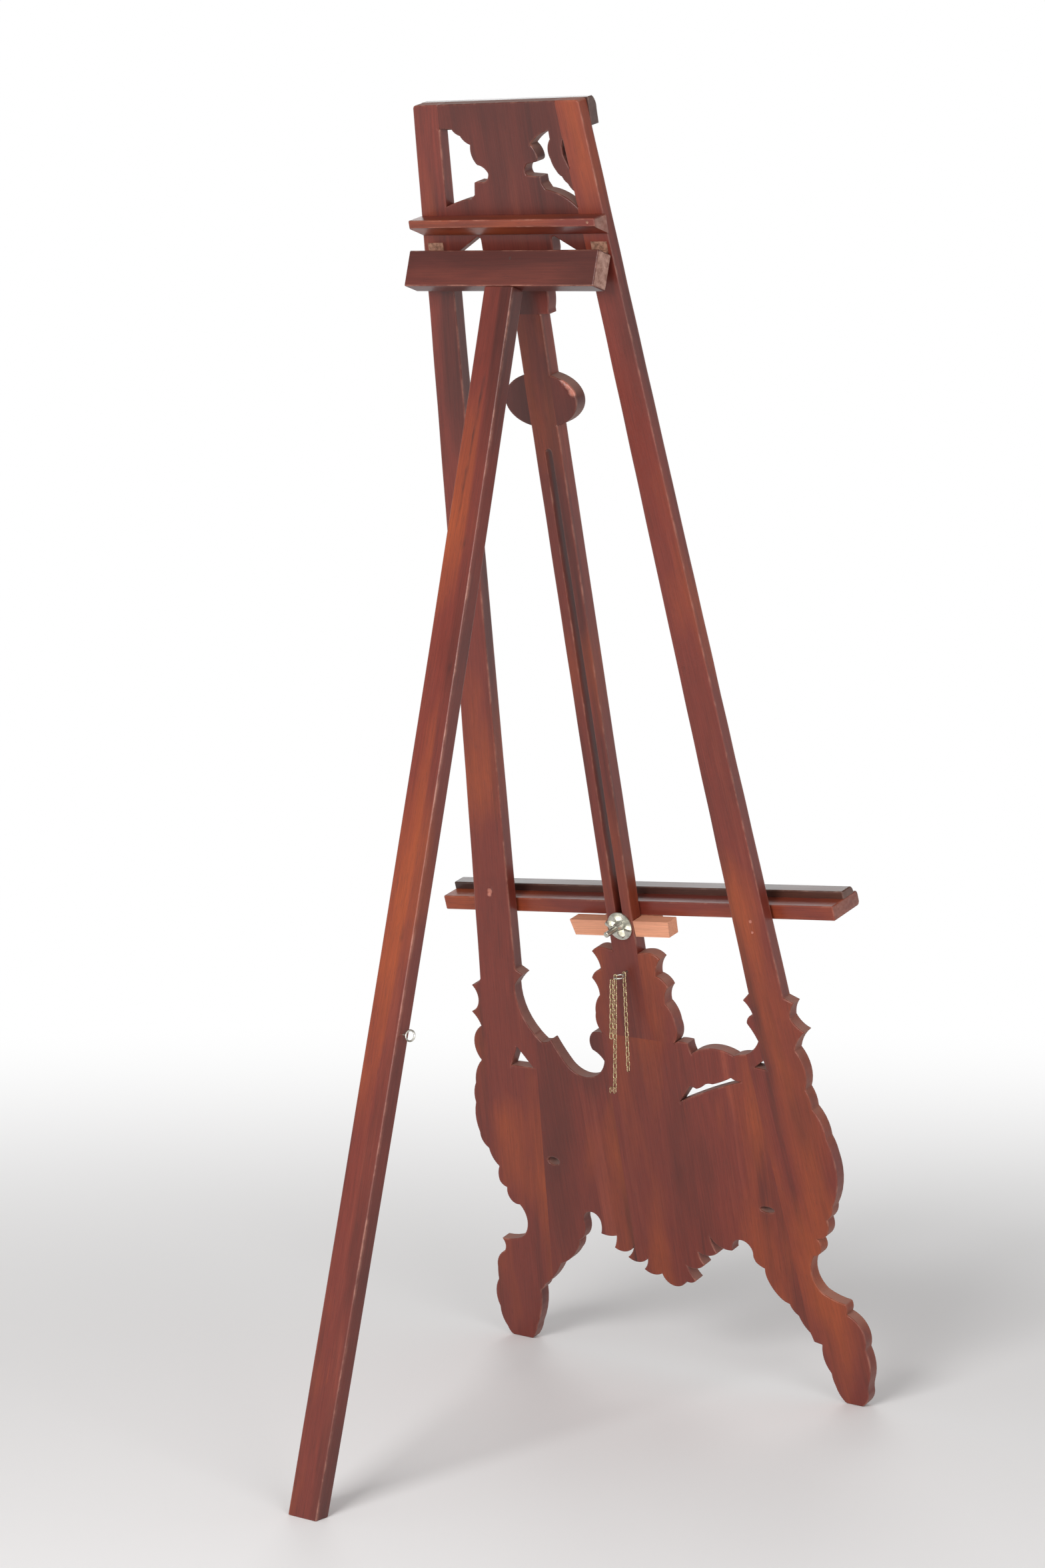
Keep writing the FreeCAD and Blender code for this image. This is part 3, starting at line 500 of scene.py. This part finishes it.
# --- bars -----------------------------------------------------------------------------------------
def rounded(section, radii, spacing):
    """Section polygon with rounded corners and points along its sides, as (x, y, wear)."""
    out = []
    count = len(section)
    for i in range(count):
        before, here, after = (np.array(section[(i + k) % count], float) for k in (-1, 0, 1))
        a = (before - here) / np.linalg.norm(before - here)
        b = (after - here) / np.linalg.norm(after - here)
        radius, following = radii[i], radii[(i + 1) % count]
        half = math.acos(np.clip(a @ b, -1, 1)) / 2
        centre = here + (a + b) / np.linalg.norm(a + b) * radius / math.sin(half)
        p = here + a * radius / math.tan(half)
        q = here + b * radius / math.tan(half)
        turns = 5 if radius < BEND else 9
        for t in np.linspace(0, 1, turns):
            v = (p - centre) * (1 - t) + (q - centre) * t
            v = v / np.linalg.norm(v) * radius + centre
            out.append((v[0], v[1], 1.0 if 0.1 < t < 0.9 and radius < BEND else 0.35))
        reach = np.linalg.norm(after - q)
        margin = min(1.2 * MM, 0.2 * reach)
        last = max(reach - following - margin, margin * 1.1)
        for t in np.linspace(margin, last, max(2, int((last - margin) / spacing))):
            out.append((*(q + b * t), 0.0))
    return np.array(out)


def bar_piece(name, node, plane, along, section, span, material, radii=None, shift=0.0, tone=0.0, end=0.4,
              trim=None, paint=None, spacing=9 * MM):
    """Bar with a rounded section swept along u or s. Trim reshapes it and paint alters its marks."""
    ring = rounded(section, radii or [ROUND] * len(section), spacing)
    low, high = span
    size = len(ring)
    near = np.array(BAR_END_ROWS)
    places = np.arange(low + 6 * MM, high - 6 * MM, BAR_STEP)
    places = np.concatenate([[low], low + near, places, high - near[::-1], [high]])
    centre = (ring[:, :2].min(0) + ring[:, :2].max(0)) / 2
    points, edge = [], []
    for place in places:
        gap = min(place - low, high - place)
        pull = ROUND - math.sqrt(max(ROUND ** 2 - max(ROUND - gap, 0) ** 2, 0))
        offset = ring[:, :2] - centre
        offset -= np.sign(offset) * np.minimum(pull, np.abs(offset))
        offset -= np.sign(offset) * BAR_UNEVEN * (1 + np.sin(place * 17 + shift * 9))
        columns = [np.full(size, place), centre + offset]
        points.append(np.column_stack(columns if along == "u" else columns[::-1]))
        edge.append(np.maximum(ring[:, 2], math.exp(-(gap / RUBBED) ** 2)))
    for cap in (0, len(places) - 1):
        points.append(points[cap].copy())
        edge.append(np.full(size, 0.2))
    local = np.concatenate(points)
    if trim:
        trim(local, plane)
    base = len(places) * size
    faces = [(i + j, i + k, i + size + k, i + size + j)
             for i in range(0, base - size, size) for j, k in zip(range(size), [*range(1, size), 0])]
    faces.append(tuple(range(base, base + size))[::-1])
    faces.append(tuple(range(base + size, base + 2 * size)))
    if turned_in(local, faces):
        faces = [face[::-1] for face in faces]
    grain = local[:, [0, 2, 1] if along == "u" else [2, 0, 1]] + shift * GRAIN_STEP
    ends = np.repeat([0.0, end], [base, 2 * size])
    values = {"edge": np.concatenate(edge), "end": ends, "tone": tone}
    if paint:
        paint(local, values)
    return shape_mesh(name, node, plane.world(local), faces, grain, values, material)


def turned_in(points, faces):
    """True if the faces wind inwards."""
    total = 0.0
    for face in faces:
        a = points[face[0]]
        for i in range(1, len(face) - 1):
            total += a @ np.cross(points[face[i]], points[face[i + 1]])
    return total < 0


def box_section(low, high, axes):
    """Rectangle between two corners, over the given two axes."""
    i, j = axes
    return [(low[i], low[j]), (high[i], low[j]), (high[i], high[j]), (low[i], high[j])]


def leg_bow(s):
    """Share of the leg's full bow at each height, from 0 at its ends to 1 halfway."""
    along = np.clip((s + LEG_SPARE) / (s.max() + LEG_SPARE), 0, 1)
    return 4 * along * (1 - along)


def leg_shape(local, plane):
    """Bows the leg towards the right, its right edge more, and cuts its heel level with the ground."""
    left, right = LEG_BOWS
    to_right = 0.5 - local[:, 0] / LEG_WIDTH
    local[:, 0] -= leg_bow(local[:, 2]) * (left + (right - left) * to_right)
    level_with_ground(local, plane)


def level_with_ground(local, plane):
    """Moves the lowest part of a bar along itself on to the ground, so the heel sits flat."""
    lowest = local[:, 2].min()
    near = local[:, 2] < HEEL
    rise = plane.axes[2, 2]
    ground = local[near, 2] - plane.world(local)[near, 2] / rise
    share = 1 - (local[near, 2] - lowest) / (HEEL - lowest)
    local[near, 2] += (ground - lowest) * share


# --- materials ------------------------------------------------------------------------------------
def new_material(name):
    """Material with its node tree and its main shader."""
    material = bpy.data.materials.new(name)
    material.use_nodes = True
    return material, material.node_tree, material.node_tree.nodes["Principled BSDF"]


def add(tree, kind, **settings):
    """New node, with each setting put in its input or its property of that name."""
    made = tree.nodes.new(kind)
    for key, value in settings.items():
        if key in made.inputs:
            made.inputs[key].default_value = value
        else:
            setattr(made, key, value)
    return made


def read(tree, name):
    """A mesh attribute."""
    made = add(tree, "ShaderNodeAttribute", attribute_name=name)
    return made.outputs["Vector" if name == "grain" else "Fac"]


def stretched(tree, source, scale):
    """Coordinates scaled along, across and through the grain."""
    mapping = add(tree, "ShaderNodeMapping", Scale=scale)
    tree.links.new(source, mapping.inputs["Vector"])
    return mapping.outputs["Vector"]


def noise(tree, vector, detail=4.0, rough=0.55, distortion=0.0, scale=1.0):
    made = add(tree, "ShaderNodeTexNoise", Scale=scale, Detail=detail, Roughness=rough,
               Distortion=distortion)
    tree.links.new(vector, made.inputs["Vector"])
    return made.outputs["Fac"]


def ramp(tree, source, stops):
    made = tree.nodes.new("ShaderNodeValToRGB")
    elements = made.color_ramp.elements
    while len(elements) < len(stops):
        elements.new(0.5)
    for element, (place, colour) in zip(elements, stops):
        element.position = place
        element.color = (*colour, 1)
    tree.links.new(source, made.inputs["Fac"])
    return made.outputs["Color"]


def grey(tree, source, low, high, start=0.0, end=1.0):
    """Ramp of plain values, from start where the source is low to end where it is high."""
    return ramp(tree, source, [(low, (start,) * 3), (high, (end,) * 3)])


def put(tree, socket, value):
    """Links or sets a socket."""
    if isinstance(value, bpy.types.NodeSocket):
        tree.links.new(value, socket)
    elif isinstance(value, tuple):
        socket.default_value = (*value, 1)
    else:
        socket.default_value = value


def mix(tree, factor, a, b, mode="MIX"):
    made = add(tree, "ShaderNodeMix", data_type="RGBA", blend_type=mode)
    for index, value in ((0, factor), (6, a), (7, b)):
        put(tree, made.inputs[index], value)
    return made.outputs[2]


def maths(tree, operation, a, b):
    made = add(tree, "ShaderNodeMath", operation=operation)
    put(tree, made.inputs[0], a)
    put(tree, made.inputs[1], b)
    return made.outputs[0]


def linear(red, green, blue):
    """Linear colour from 8 bit sRGB."""
    return tuple(c / 12.92 if c <= 0.04045 else ((c + 0.055) / 1.055) ** 2.4
                 for c in (red / 255, green / 255, blue / 255))


# Noise in the wood, in cells per metre along, across and through the grain.
STREAK = (1.1, 22, 22)
CLOUD = (3.2, 11, 11)
FINE = (14, 560, 560)
PORE = (60, 1500, 1500)
END_GRAIN = (160, 160, 160)
RUB = (30, 60, 60)
SCRATCH = (190, 80, 80)
DENT = (24, 60, 60)

END_DARK = linear(132, 96, 84)
END_LIGHT = linear(180, 144, 130)
# Walls: bare cut wood, made paler still as a painted sheen where the lamps leave them dark.
PALE_WALL_AND_SHEEN = linear(158, 126, 114)
STAIN = linear(44, 24, 22)
BARE = linear(166, 104, 88)


def stained(tree, grain, cloud, light, main, dark, warm):
    """Colour of the stain over long streaks, warm and dark patches, and each board's own tone, which on the disc,
    the hinge rail and the leg also carries painted shade.
    """
    tone = read(tree, "tone")
    streak = noise(tree, stretched(tree, grain, STREAK), 5, 0.58, 0.3)
    colour = ramp(tree, streak, [(0.28, dark), (0.44, main), (0.58, main), (0.74, light)])
    lifted = maths(tree, "ADD", cloud, maths(tree, "MULTIPLY", tone, 0.16))
    colour = mix(tree, grey(tree, lifted, 0.50, 0.72, 0.0, 0.85), colour, warm)
    colour = mix(tree, grey(tree, lifted, 0.24, 0.44, 0.65, 0.0), colour, dark)
    level = maths(tree, "ADD", maths(tree, "MULTIPLY", tone, 0.14), 1.0)
    shade = tree.nodes.new("ShaderNodeCombineColor")
    for channel in ("Red", "Green", "Blue"):
        tree.links.new(level, shade.inputs[channel])
    return mix(tree, 1.0, colour, shade.outputs["Color"], "MULTIPLY")


def aged(tree, grain, colour, worn, wear):
    """The same colour with paler ends, paler walls (bare cut wood with a painted sheen), rubbed arrises,
    scratches, dark stain and bare chips.
    """
    cut = grey(tree, noise(tree, stretched(tree, grain, END_GRAIN), 3), 0.35, 0.7)
    colour = mix(tree, read(tree, "end"), colour, mix(tree, cut, END_DARK, END_LIGHT))
    # Walls cut across the grain turn paler: bare wood and a painted sheen.
    colour = mix(tree, maths(tree, "MULTIPLY", read(tree, "side"), 0.45), colour, PALE_WALL_AND_SHEEN)
    rub = noise(tree, stretched(tree, grain, RUB), 5, 0.65)
    amount = maths(tree, "MULTIPLY", read(tree, "edge"), grey(tree, rub, 0.48, 0.66, 0.08, wear))
    colour = mix(tree, amount, colour, worn)
    scratch = noise(tree, stretched(tree, grain, SCRATCH), 6, 0.78, 1.4)
    colour = mix(tree, grey(tree, scratch, 0.745, 0.775, 0.0, 0.35), colour, worn)
    colour = mix(tree, read(tree, "stain"), colour, STAIN)
    return mix(tree, read(tree, "raw"), colour, BARE)


def dented(tree, grain, fine, pores, dents):
    """Surface with fine grain, open pores and shallow dents."""
    height = maths(tree, "SUBTRACT", maths(tree, "MULTIPLY", fine, 0.4), pores)
    bump = add(tree, "ShaderNodeBump", Strength=0.2 * dents, Distance=0.2 * MM)
    tree.links.new(height, bump.inputs["Height"])
    hollow = add(tree, "ShaderNodeBump", Strength=0.35 * dents, Distance=0.8 * MM)
    tree.links.new(noise(tree, stretched(tree, grain, DENT), 3, 0.5), hollow.inputs["Height"])
    tree.links.new(bump.outputs["Normal"], hollow.inputs["Normal"])
    return hollow.outputs["Normal"]


def wood(name, light, main, dark, warm, worn, roughness=0.40, coat=0.2, wear=0.5, dents=1.0):
    """Stained wood under a thin varnish, which is missing on the ends and the cut walls."""
    material, tree, shader = new_material(name)
    grain = read(tree, "grain")
    cloud = noise(tree, stretched(tree, grain, CLOUD), 3, 0.5)
    colour = stained(tree, grain, cloud, light, main, dark, warm)
    fine = noise(tree, stretched(tree, grain, FINE), 4, 0.65)
    colour = mix(tree, 1.0, colour, grey(tree, fine, 0.3, 0.7, 0.80, 1.14), "MULTIPLY")
    pores = grey(tree, noise(tree, stretched(tree, grain, PORE), 2, 0.5), 0.30, 0.40, 1.0, 0.0)
    colour = mix(tree, maths(tree, "MULTIPLY", pores, 0.5), colour, dark)
    tree.links.new(aged(tree, grain, colour, worn, wear), shader.inputs["Base Color"])
    rough = grey(tree, cloud, 0.3, 0.75, roughness - 0.06, roughness + 0.12)
    bare = maths(tree, "MAXIMUM", read(tree, "side"), maths(tree, "MULTIPLY", read(tree, "end"), 1.4))
    rougher = maths(tree, "ADD", rough, maths(tree, "MULTIPLY", bare, 0.3))
    thinner = maths(tree, "SUBTRACT", coat, maths(tree, "MULTIPLY", bare, coat))
    tree.links.new(rougher, shader.inputs["Roughness"])
    tree.links.new(thinner, shader.inputs["Coat Weight"])
    shader.inputs["Coat Roughness"].default_value = 0.2
    shader.inputs["Specular IOR Level"].default_value = 0.35
    surface = dented(tree, grain, fine, pores, dents)
    tree.links.new(surface, shader.inputs["Normal"])
    tree.links.new(surface, shader.inputs["Coat Normal"])
    return material


def metal(name, tone, dull, roughness, scale, metallic=0.9):
    """Tarnished metal: two tones with dull stains."""
    material, tree, shader = new_material(name)
    place = tree.nodes.new("ShaderNodeTexCoord").outputs["Object"]
    cloud = noise(tree, place, 5, 0.6, scale=scale)
    stain = noise(tree, place, 4, 0.7, scale=scale * 5)
    colour = ramp(tree, cloud, [(0.35, dull), (0.60, tone)])
    colour = mix(tree, grey(tree, stain, 0.58, 0.78, 0.0, 0.5), colour, dull)
    tree.links.new(colour, shader.inputs["Base Color"])
    rough = grey(tree, cloud, 0.3, 0.7, roughness + 0.12, roughness - 0.05)
    tree.links.new(rough, shader.inputs["Roughness"])
    shader.inputs["Metallic"].default_value = metallic
    bump = add(tree, "ShaderNodeBump", Strength=0.12, Distance=0.2 * MM)
    tree.links.new(stain, bump.inputs["Height"])
    tree.links.new(bump.outputs["Normal"], shader.inputs["Normal"])
    return material


RED = dict(light=linear(128, 58, 42), main=linear(104, 41, 31), dark=linear(66, 28, 23),
           warm=linear(138, 62, 28), worn=linear(172, 120, 102))
DEEP = dict(light=linear(88, 54, 46), main=linear(64, 40, 35), dark=linear(40, 27, 25),
            warm=linear(82, 47, 35), worn=linear(140, 110, 98))
RAW = dict(light=linear(218, 160, 130), main=linear(204, 142, 112), dark=linear(164, 106, 84),
           warm=linear(208, 140, 106), worn=linear(224, 180, 156))

MAHOGANY = wood("mahogany", **RED)
DARK = wood("dark_mahogany", **DEEP, roughness=0.34, dents=0.25)
PLAIN = wood("raw_wood", **RAW, roughness=0.6, coat=0.0, wear=0.3)
BRASS = metal("aged_brass", linear(222, 202, 162), linear(150, 130, 96), 0.28, 400)
ZINC = metal("zinc_steel", linear(206, 204, 194), linear(160, 158, 146), 0.26, 70)
IRON = metal("aged_steel", linear(172, 128, 106), linear(112, 78, 62), 0.5, 200, 0.5)
FINISHES = {
    "mahogany": MAHOGANY, "dark_mahogany": DARK, "raw_wood": PLAIN,
    "aged_brass": BRASS, "zinc_steel": ZINC, "aged_steel": IRON,
}


# --- pieces ---------------------------------------------------------------------------------------
# Each board of the front frame: its carving, its tone, and its chips as u, s, radius and depth.
BOARDS = {
    "stile_left": ("strong", 0.0, [
        (0.2238, 0.7173, 5 * MM, 2.0 * MM), (0.2255, 0.7120, 4 * MM, 1.6 * MM)]),
    "stile_right": ("strong", 0.1, [
        (-0.2207, 0.7187, 3 * MM, 1.2 * MM), (-0.2215, 0.7031, 2.4 * MM, 1.2 * MM)]),
    "panel_board_left": ("strong", -0.25, []),
    "panel_board_centre": ("strong", 0.0, []),
    "panel_board_right": ("strong", 0.1, []),
    "head_panel": ("strong", -1.3, []),
    "mast_flare_left": ("plain", 0.0, []),
    "mast_flare_right": ("plain", 0.1, []),
    "mast": (None, -0.2, []),
    # The disc's halves have low tones as a painted shadow of the leg and the hinge rail, the left half darkest.
    "mast_disc_left": (None, -2.0, []),
    "mast_disc_right": (None, -1.3, [
        (-0.0440, 1.4640, 7.5 * MM, 2.0 * MM), (-0.0500, 1.4570, 7.5 * MM, 2.0 * MM),
        (-0.0550, 1.4480, 7.5 * MM, 2.0 * MM)]),
}
LEANS = {"stile_left": -STILE_LEAN, "stile_right": STILE_LEAN}


def front_boards():
    """The boards of the front frame. An outline that lies on another board's is a glued seam."""
    outlines = {name: sides_of(face_loops(name, FRONT)) for name in BOARDS}
    for i, (name, (carve, tone, chips)) in enumerate(BOARDS.items()):
        others = [outlines[n] for n in BOARDS if n != name]
        seams = [np.concatenate([o[k] for o in others]) for k in (0, 1)]
        shift = 0.71 * i + 0.2
        board_piece(name + "_worn", name, FRONT, seams, MAHOGANY, LEANS.get(name, 0.0), carve, shift, chips,
                    tone)


def flat_section(node, plane):
    """A prism's (d, s) section, as the corners of its end at the smallest u in order round its middle."""
    points = plane.local(cad_points(node))
    end = points[:, 0].min()
    corners = np.array([points[v][[1, 2]] for polygon in nodes[node].data.polygons
                        if max(points[v][0] for v in polygon.vertices) < end + FLAT
                        for v in polygon.vertices])
    centre = (corners.min(0) + corners.max(0)) / 2
    unique = {tuple(np.round(p / (0.05 * MM)).astype(int)): p for p in corners}
    order = sorted(unique.values(), key=lambda p: math.atan2(p[1] - centre[1], p[0] - centre[0]))
    return [tuple(p) for p in order]


KNOTS = ((-20 * MM, 1.092), (-11 * MM, 1.256), (-12 * MM, 0.745))
DRYING_LINE = (1.270, 1.486)               # from and to, along the leg


def leg_paint(local, values):
    """The leg: orange beside a redder right side, painted shade low on its left part and near its top, a dark
    drying line, three knots and a pale line on its right arris.
    """
    u, s = local[:, 0], local[:, 2]
    seam = -0.008 + 0.004 * np.sin(s * 5.0)
    redder = np.clip((seam - u) / (5 * MM), 0, 1)
    # Painted shade: the tone drops towards the foot on the left part and towards the top under the hinge rail.
    low_shade = np.clip((0.5 - s) / 0.3, 0, 1) * (u > seam)
    top_shade = np.clip((s - 1.30) / 0.25, 0, 1)
    values["tone"] = 0.55 - 0.9 * redder - 0.5 * low_shade - 0.9 * top_shade
    line_u = -0.7 * MM + (1.480 - s) * 0.034
    low, high = DRYING_LINE
    reach = np.clip((high - s) / 0.02, 0, 1) * np.clip((s - low) / 0.05, 0, 1)
    broken = 0.65 + 0.35 * np.sin(s * 190) * np.sin(s * 73)
    values["stain"] = 0.85 * reach * broken * np.exp(-((u - line_u) / (1.5 * MM)) ** 2)
    for knot_u, knot_s in KNOTS:
        away = np.hypot((u - knot_u) / (2.2 * MM), (s - knot_s) / (6 * MM))
        values["stain"] = np.maximum(values["stain"], 0.6 * np.exp(-away ** 2))
    # A pale line along the right arris.
    right_edge = -LEG_WIDTH / 2 - leg_bow(s) * LEG_BOWS[1]
    right = np.exp(-((u - right_edge - 0.4 * MM) / (0.8 * MM)) ** 2) * (local[:, 1] > -4 * MM)
    values["edge"] = values["edge"] * 0.5 + 0.9 * right


def cross_bar(node, plane, material, section=None, **looks):
    """Bar across the easel, from end to end of its CAD node, with a square section unless one is given."""
    low, high = local_box(node, plane)
    bar_piece(node + "_worn", node, plane, "u", section or box_section(low, high, (1, 2)),
              (low[0], high[0]), material, **looks)


def bars():
    """The leg, hinge rail, stop rail, cornice, ledge and lip."""
    low, high = local_box("rear_leg", LEG)
    rail_foot = local_box("hinge_rail", LEG)[0][2]
    half = LEG_WIDTH / 2
    section = box_section((-half, low[1]), (half, high[1]), (0, 1))
    bar_piece("rear_leg_worn", "rear_leg", LEG, "s", section, (0.0, rail_foot), MAHOGANY, shift=5.1,
              trim=leg_shape, end=0.15, paint=leg_paint, spacing=2.4 * MM)
    # The hinge rail's low tone is painted shade on its upturned face.
    cross_bar("hinge_rail", LEG, MAHOGANY, shift=4.4, tone=-2.0, end=0.9)
    cross_bar("stop_rail", FRONT, MAHOGANY, flat_section("stop_rail", FRONT), shift=3.3, tone=0.2, end=0.5)
    moulding = flat_section("head_cornice", FRONT)
    cross_bar("head_cornice", FRONT, DARK, moulding, radii=[0.4 * MM] * len(moulding), shift=2.7, end=0.1)
    cross_bar("ledge_board", LEDGE, MAHOGANY, radii=[5 * MM, ROUND, ROUND, 5 * MM], shift=6.2, tone=0.35,
              end=0.25)
    cross_bar("ledge_lip", LEDGE, DARK, radii=[ROUND, ROUND, ROUND, 7 * MM], shift=7.2, end=0.15)


def yoke():
    """Bare block under the ledge, kept as the CAD solid with softened edges and the ledge's grain."""
    piece = nodes["ledge_yoke"]
    local = LEDGE.local(cad_points("ledge_yoke"))
    grain = piece.data.attributes.new("grain", "FLOAT_VECTOR", "POINT")
    grain.data.foreach_set("vector", local[:, [0, 2, 1]].astype(np.float32).ravel())
    soften(piece, 0.7 * MM)


def soften(piece, width):
    """Rounded edges on a CAD piece."""
    bevel = piece.modifiers.new("soft_edges", "BEVEL")
    bevel.width = width
    bevel.segments = 2
    bevel.limit_method = "ANGLE"
    bevel.angle_limit = math.radians(40)


def plain_nodes():
    """CAD nodes keep their own mesh, with their finish and smooth curved faces."""
    for row in frame["record"]["subparts"]:
        mesh = nodes[row["node"]].data
        mesh.materials.clear()
        mesh.materials.append(FINISHES[row["material_slot"]])
        mesh.polygons.foreach_set("use_smooth", [True] * len(mesh.polygons))
        mesh.set_sharp_from_angle(angle=SMOOTH)
    for name in ("clamp_washer", "wing_nut", "clamp_bolt"):
        soften(nodes[name], 0.35 * MM)


# --- stage ----------------------------------------------------------------------------------------
def camera():
    """Camera behind the easel and to its right, looking slightly down."""
    data = bpy.data.cameras.new("camera")
    data.sensor_fit = "VERTICAL"
    data.sensor_height = SENSOR_HEIGHT
    data.lens = CAMERA_LENS
    data.clip_end = 100
    eye = bpy.data.objects.new("camera", data)
    bpy.context.scene.collection.objects.link(eye)
    base = FRONT.origin
    eye.location = (base[0] - CAMERA_DISTANCE * math.sin(CAMERA_AZIMUTH),
                    base[1] + CAMERA_DISTANCE * math.cos(CAMERA_AZIMUTH), CAMERA_HEIGHT)
    turn = CAMERA_AZIMUTH + CAMERA_TURN
    look = Vector((math.sin(turn) * math.cos(CAMERA_PITCH), -math.cos(turn) * math.cos(CAMERA_PITCH),
                   -math.sin(CAMERA_PITCH)))
    eye.rotation_euler = look.to_track_quat("-Z", "Y").to_euler()
    bpy.context.scene.camera = eye


def floor():
    """Pale floor that fades into the white surround."""
    corners = [(x * FLOOR_HALF, y * FLOOR_HALF, 0) for x, y in ((-1, -1), (1, -1), (1, 1), (-1, 1))]
    mesh = bpy.data.meshes.new("floor")
    mesh.from_pydata(corners, [], [(0, 1, 2, 3)])
    ground = bpy.data.objects.new("floor", mesh)
    bpy.context.scene.collection.objects.link(ground)
    material, tree, shader = new_material("pale_floor")
    shader.inputs["Base Color"].default_value = FLOOR_COLOUR
    shader.inputs["Roughness"].default_value = 0.7
    glow = add(tree, "ShaderNodeEmission", Color=(1, 1, 1, 1), Strength=1.0)
    place = tree.nodes.new("ShaderNodeTexCoord").outputs["Object"]
    far = add(tree, "ShaderNodeVectorMath", operation="LENGTH")
    tree.links.new(place, far.inputs[0])
    ahead = add(tree, "ShaderNodeVectorMath", operation="DOT_PRODUCT")
    ahead.inputs[1].default_value = AWAY
    tree.links.new(place, ahead.inputs[0])
    reach = maths(tree, "ADD", maths(tree, "MULTIPLY", far.outputs["Value"], FADE_SHARES[0]),
                  maths(tree, "MULTIPLY", ahead.outputs["Value"], FADE_SHARES[1]))
    fade = add(tree, "ShaderNodeMapRange", interpolation_type="SMOOTHSTEP")
    fade.inputs["From Min"].default_value = FLOOR_FADE[0]
    fade.inputs["From Max"].default_value = FLOOR_FADE[1]
    tree.links.new(reach, fade.inputs["Value"])
    blend = tree.nodes.new("ShaderNodeMixShader")
    tree.links.new(fade.outputs["Result"], blend.inputs[0])
    tree.links.new(shader.outputs["BSDF"], blend.inputs[1])
    tree.links.new(glow.outputs["Emission"], blend.inputs[2])
    tree.links.new(blend.outputs["Shader"], tree.nodes["Material Output"].inputs["Surface"])
    mesh.materials.append(material)


def light(name, place, size, power):
    """Square white lamp turned to the middle of the easel."""
    data = bpy.data.lights.new(name, "AREA")
    data.size = size
    data.energy = power
    lamp = bpy.data.objects.new(name, data)
    lamp.location = place
    lamp.rotation_euler = (Vector(LIT_POINT) - Vector(place)).to_track_quat("-Z", "Y").to_euler()
    bpy.context.scene.collection.objects.link(lamp)


def lights():
    """The lamps, and a sky that is white near the horizon and dimmer overhead."""
    for name, (place, size, power) in LIGHTS.items():
        light(name, place, size, power)
    world = bpy.data.worlds.new("studio")
    world.use_nodes = True
    tree = world.node_tree
    background = tree.nodes["Background"]
    place = tree.nodes.new("ShaderNodeTexCoord").outputs["Generated"]
    split = tree.nodes.new("ShaderNodeSeparateXYZ")
    tree.links.new(place, split.inputs[0])
    dim = add(tree, "ShaderNodeMapRange", interpolation_type="SMOOTHSTEP")
    for end, (height, strength) in (("Min", SKY_LOW), ("Max", SKY_HIGH)):
        dim.inputs["From " + end].default_value = height
        dim.inputs["To " + end].default_value = strength
    tree.links.new(split.outputs["Z"], dim.inputs["Value"])
    tree.links.new(dim.outputs["Result"], background.inputs["Strength"])
    background.inputs["Color"].default_value = (1, 1, 1, 1)
    bpy.context.scene.world = world
    bpy.context.scene.view_settings.view_transform = "Standard"


camera()
floor()
lights()
plain_nodes()
yoke()
bars()
front_boards()
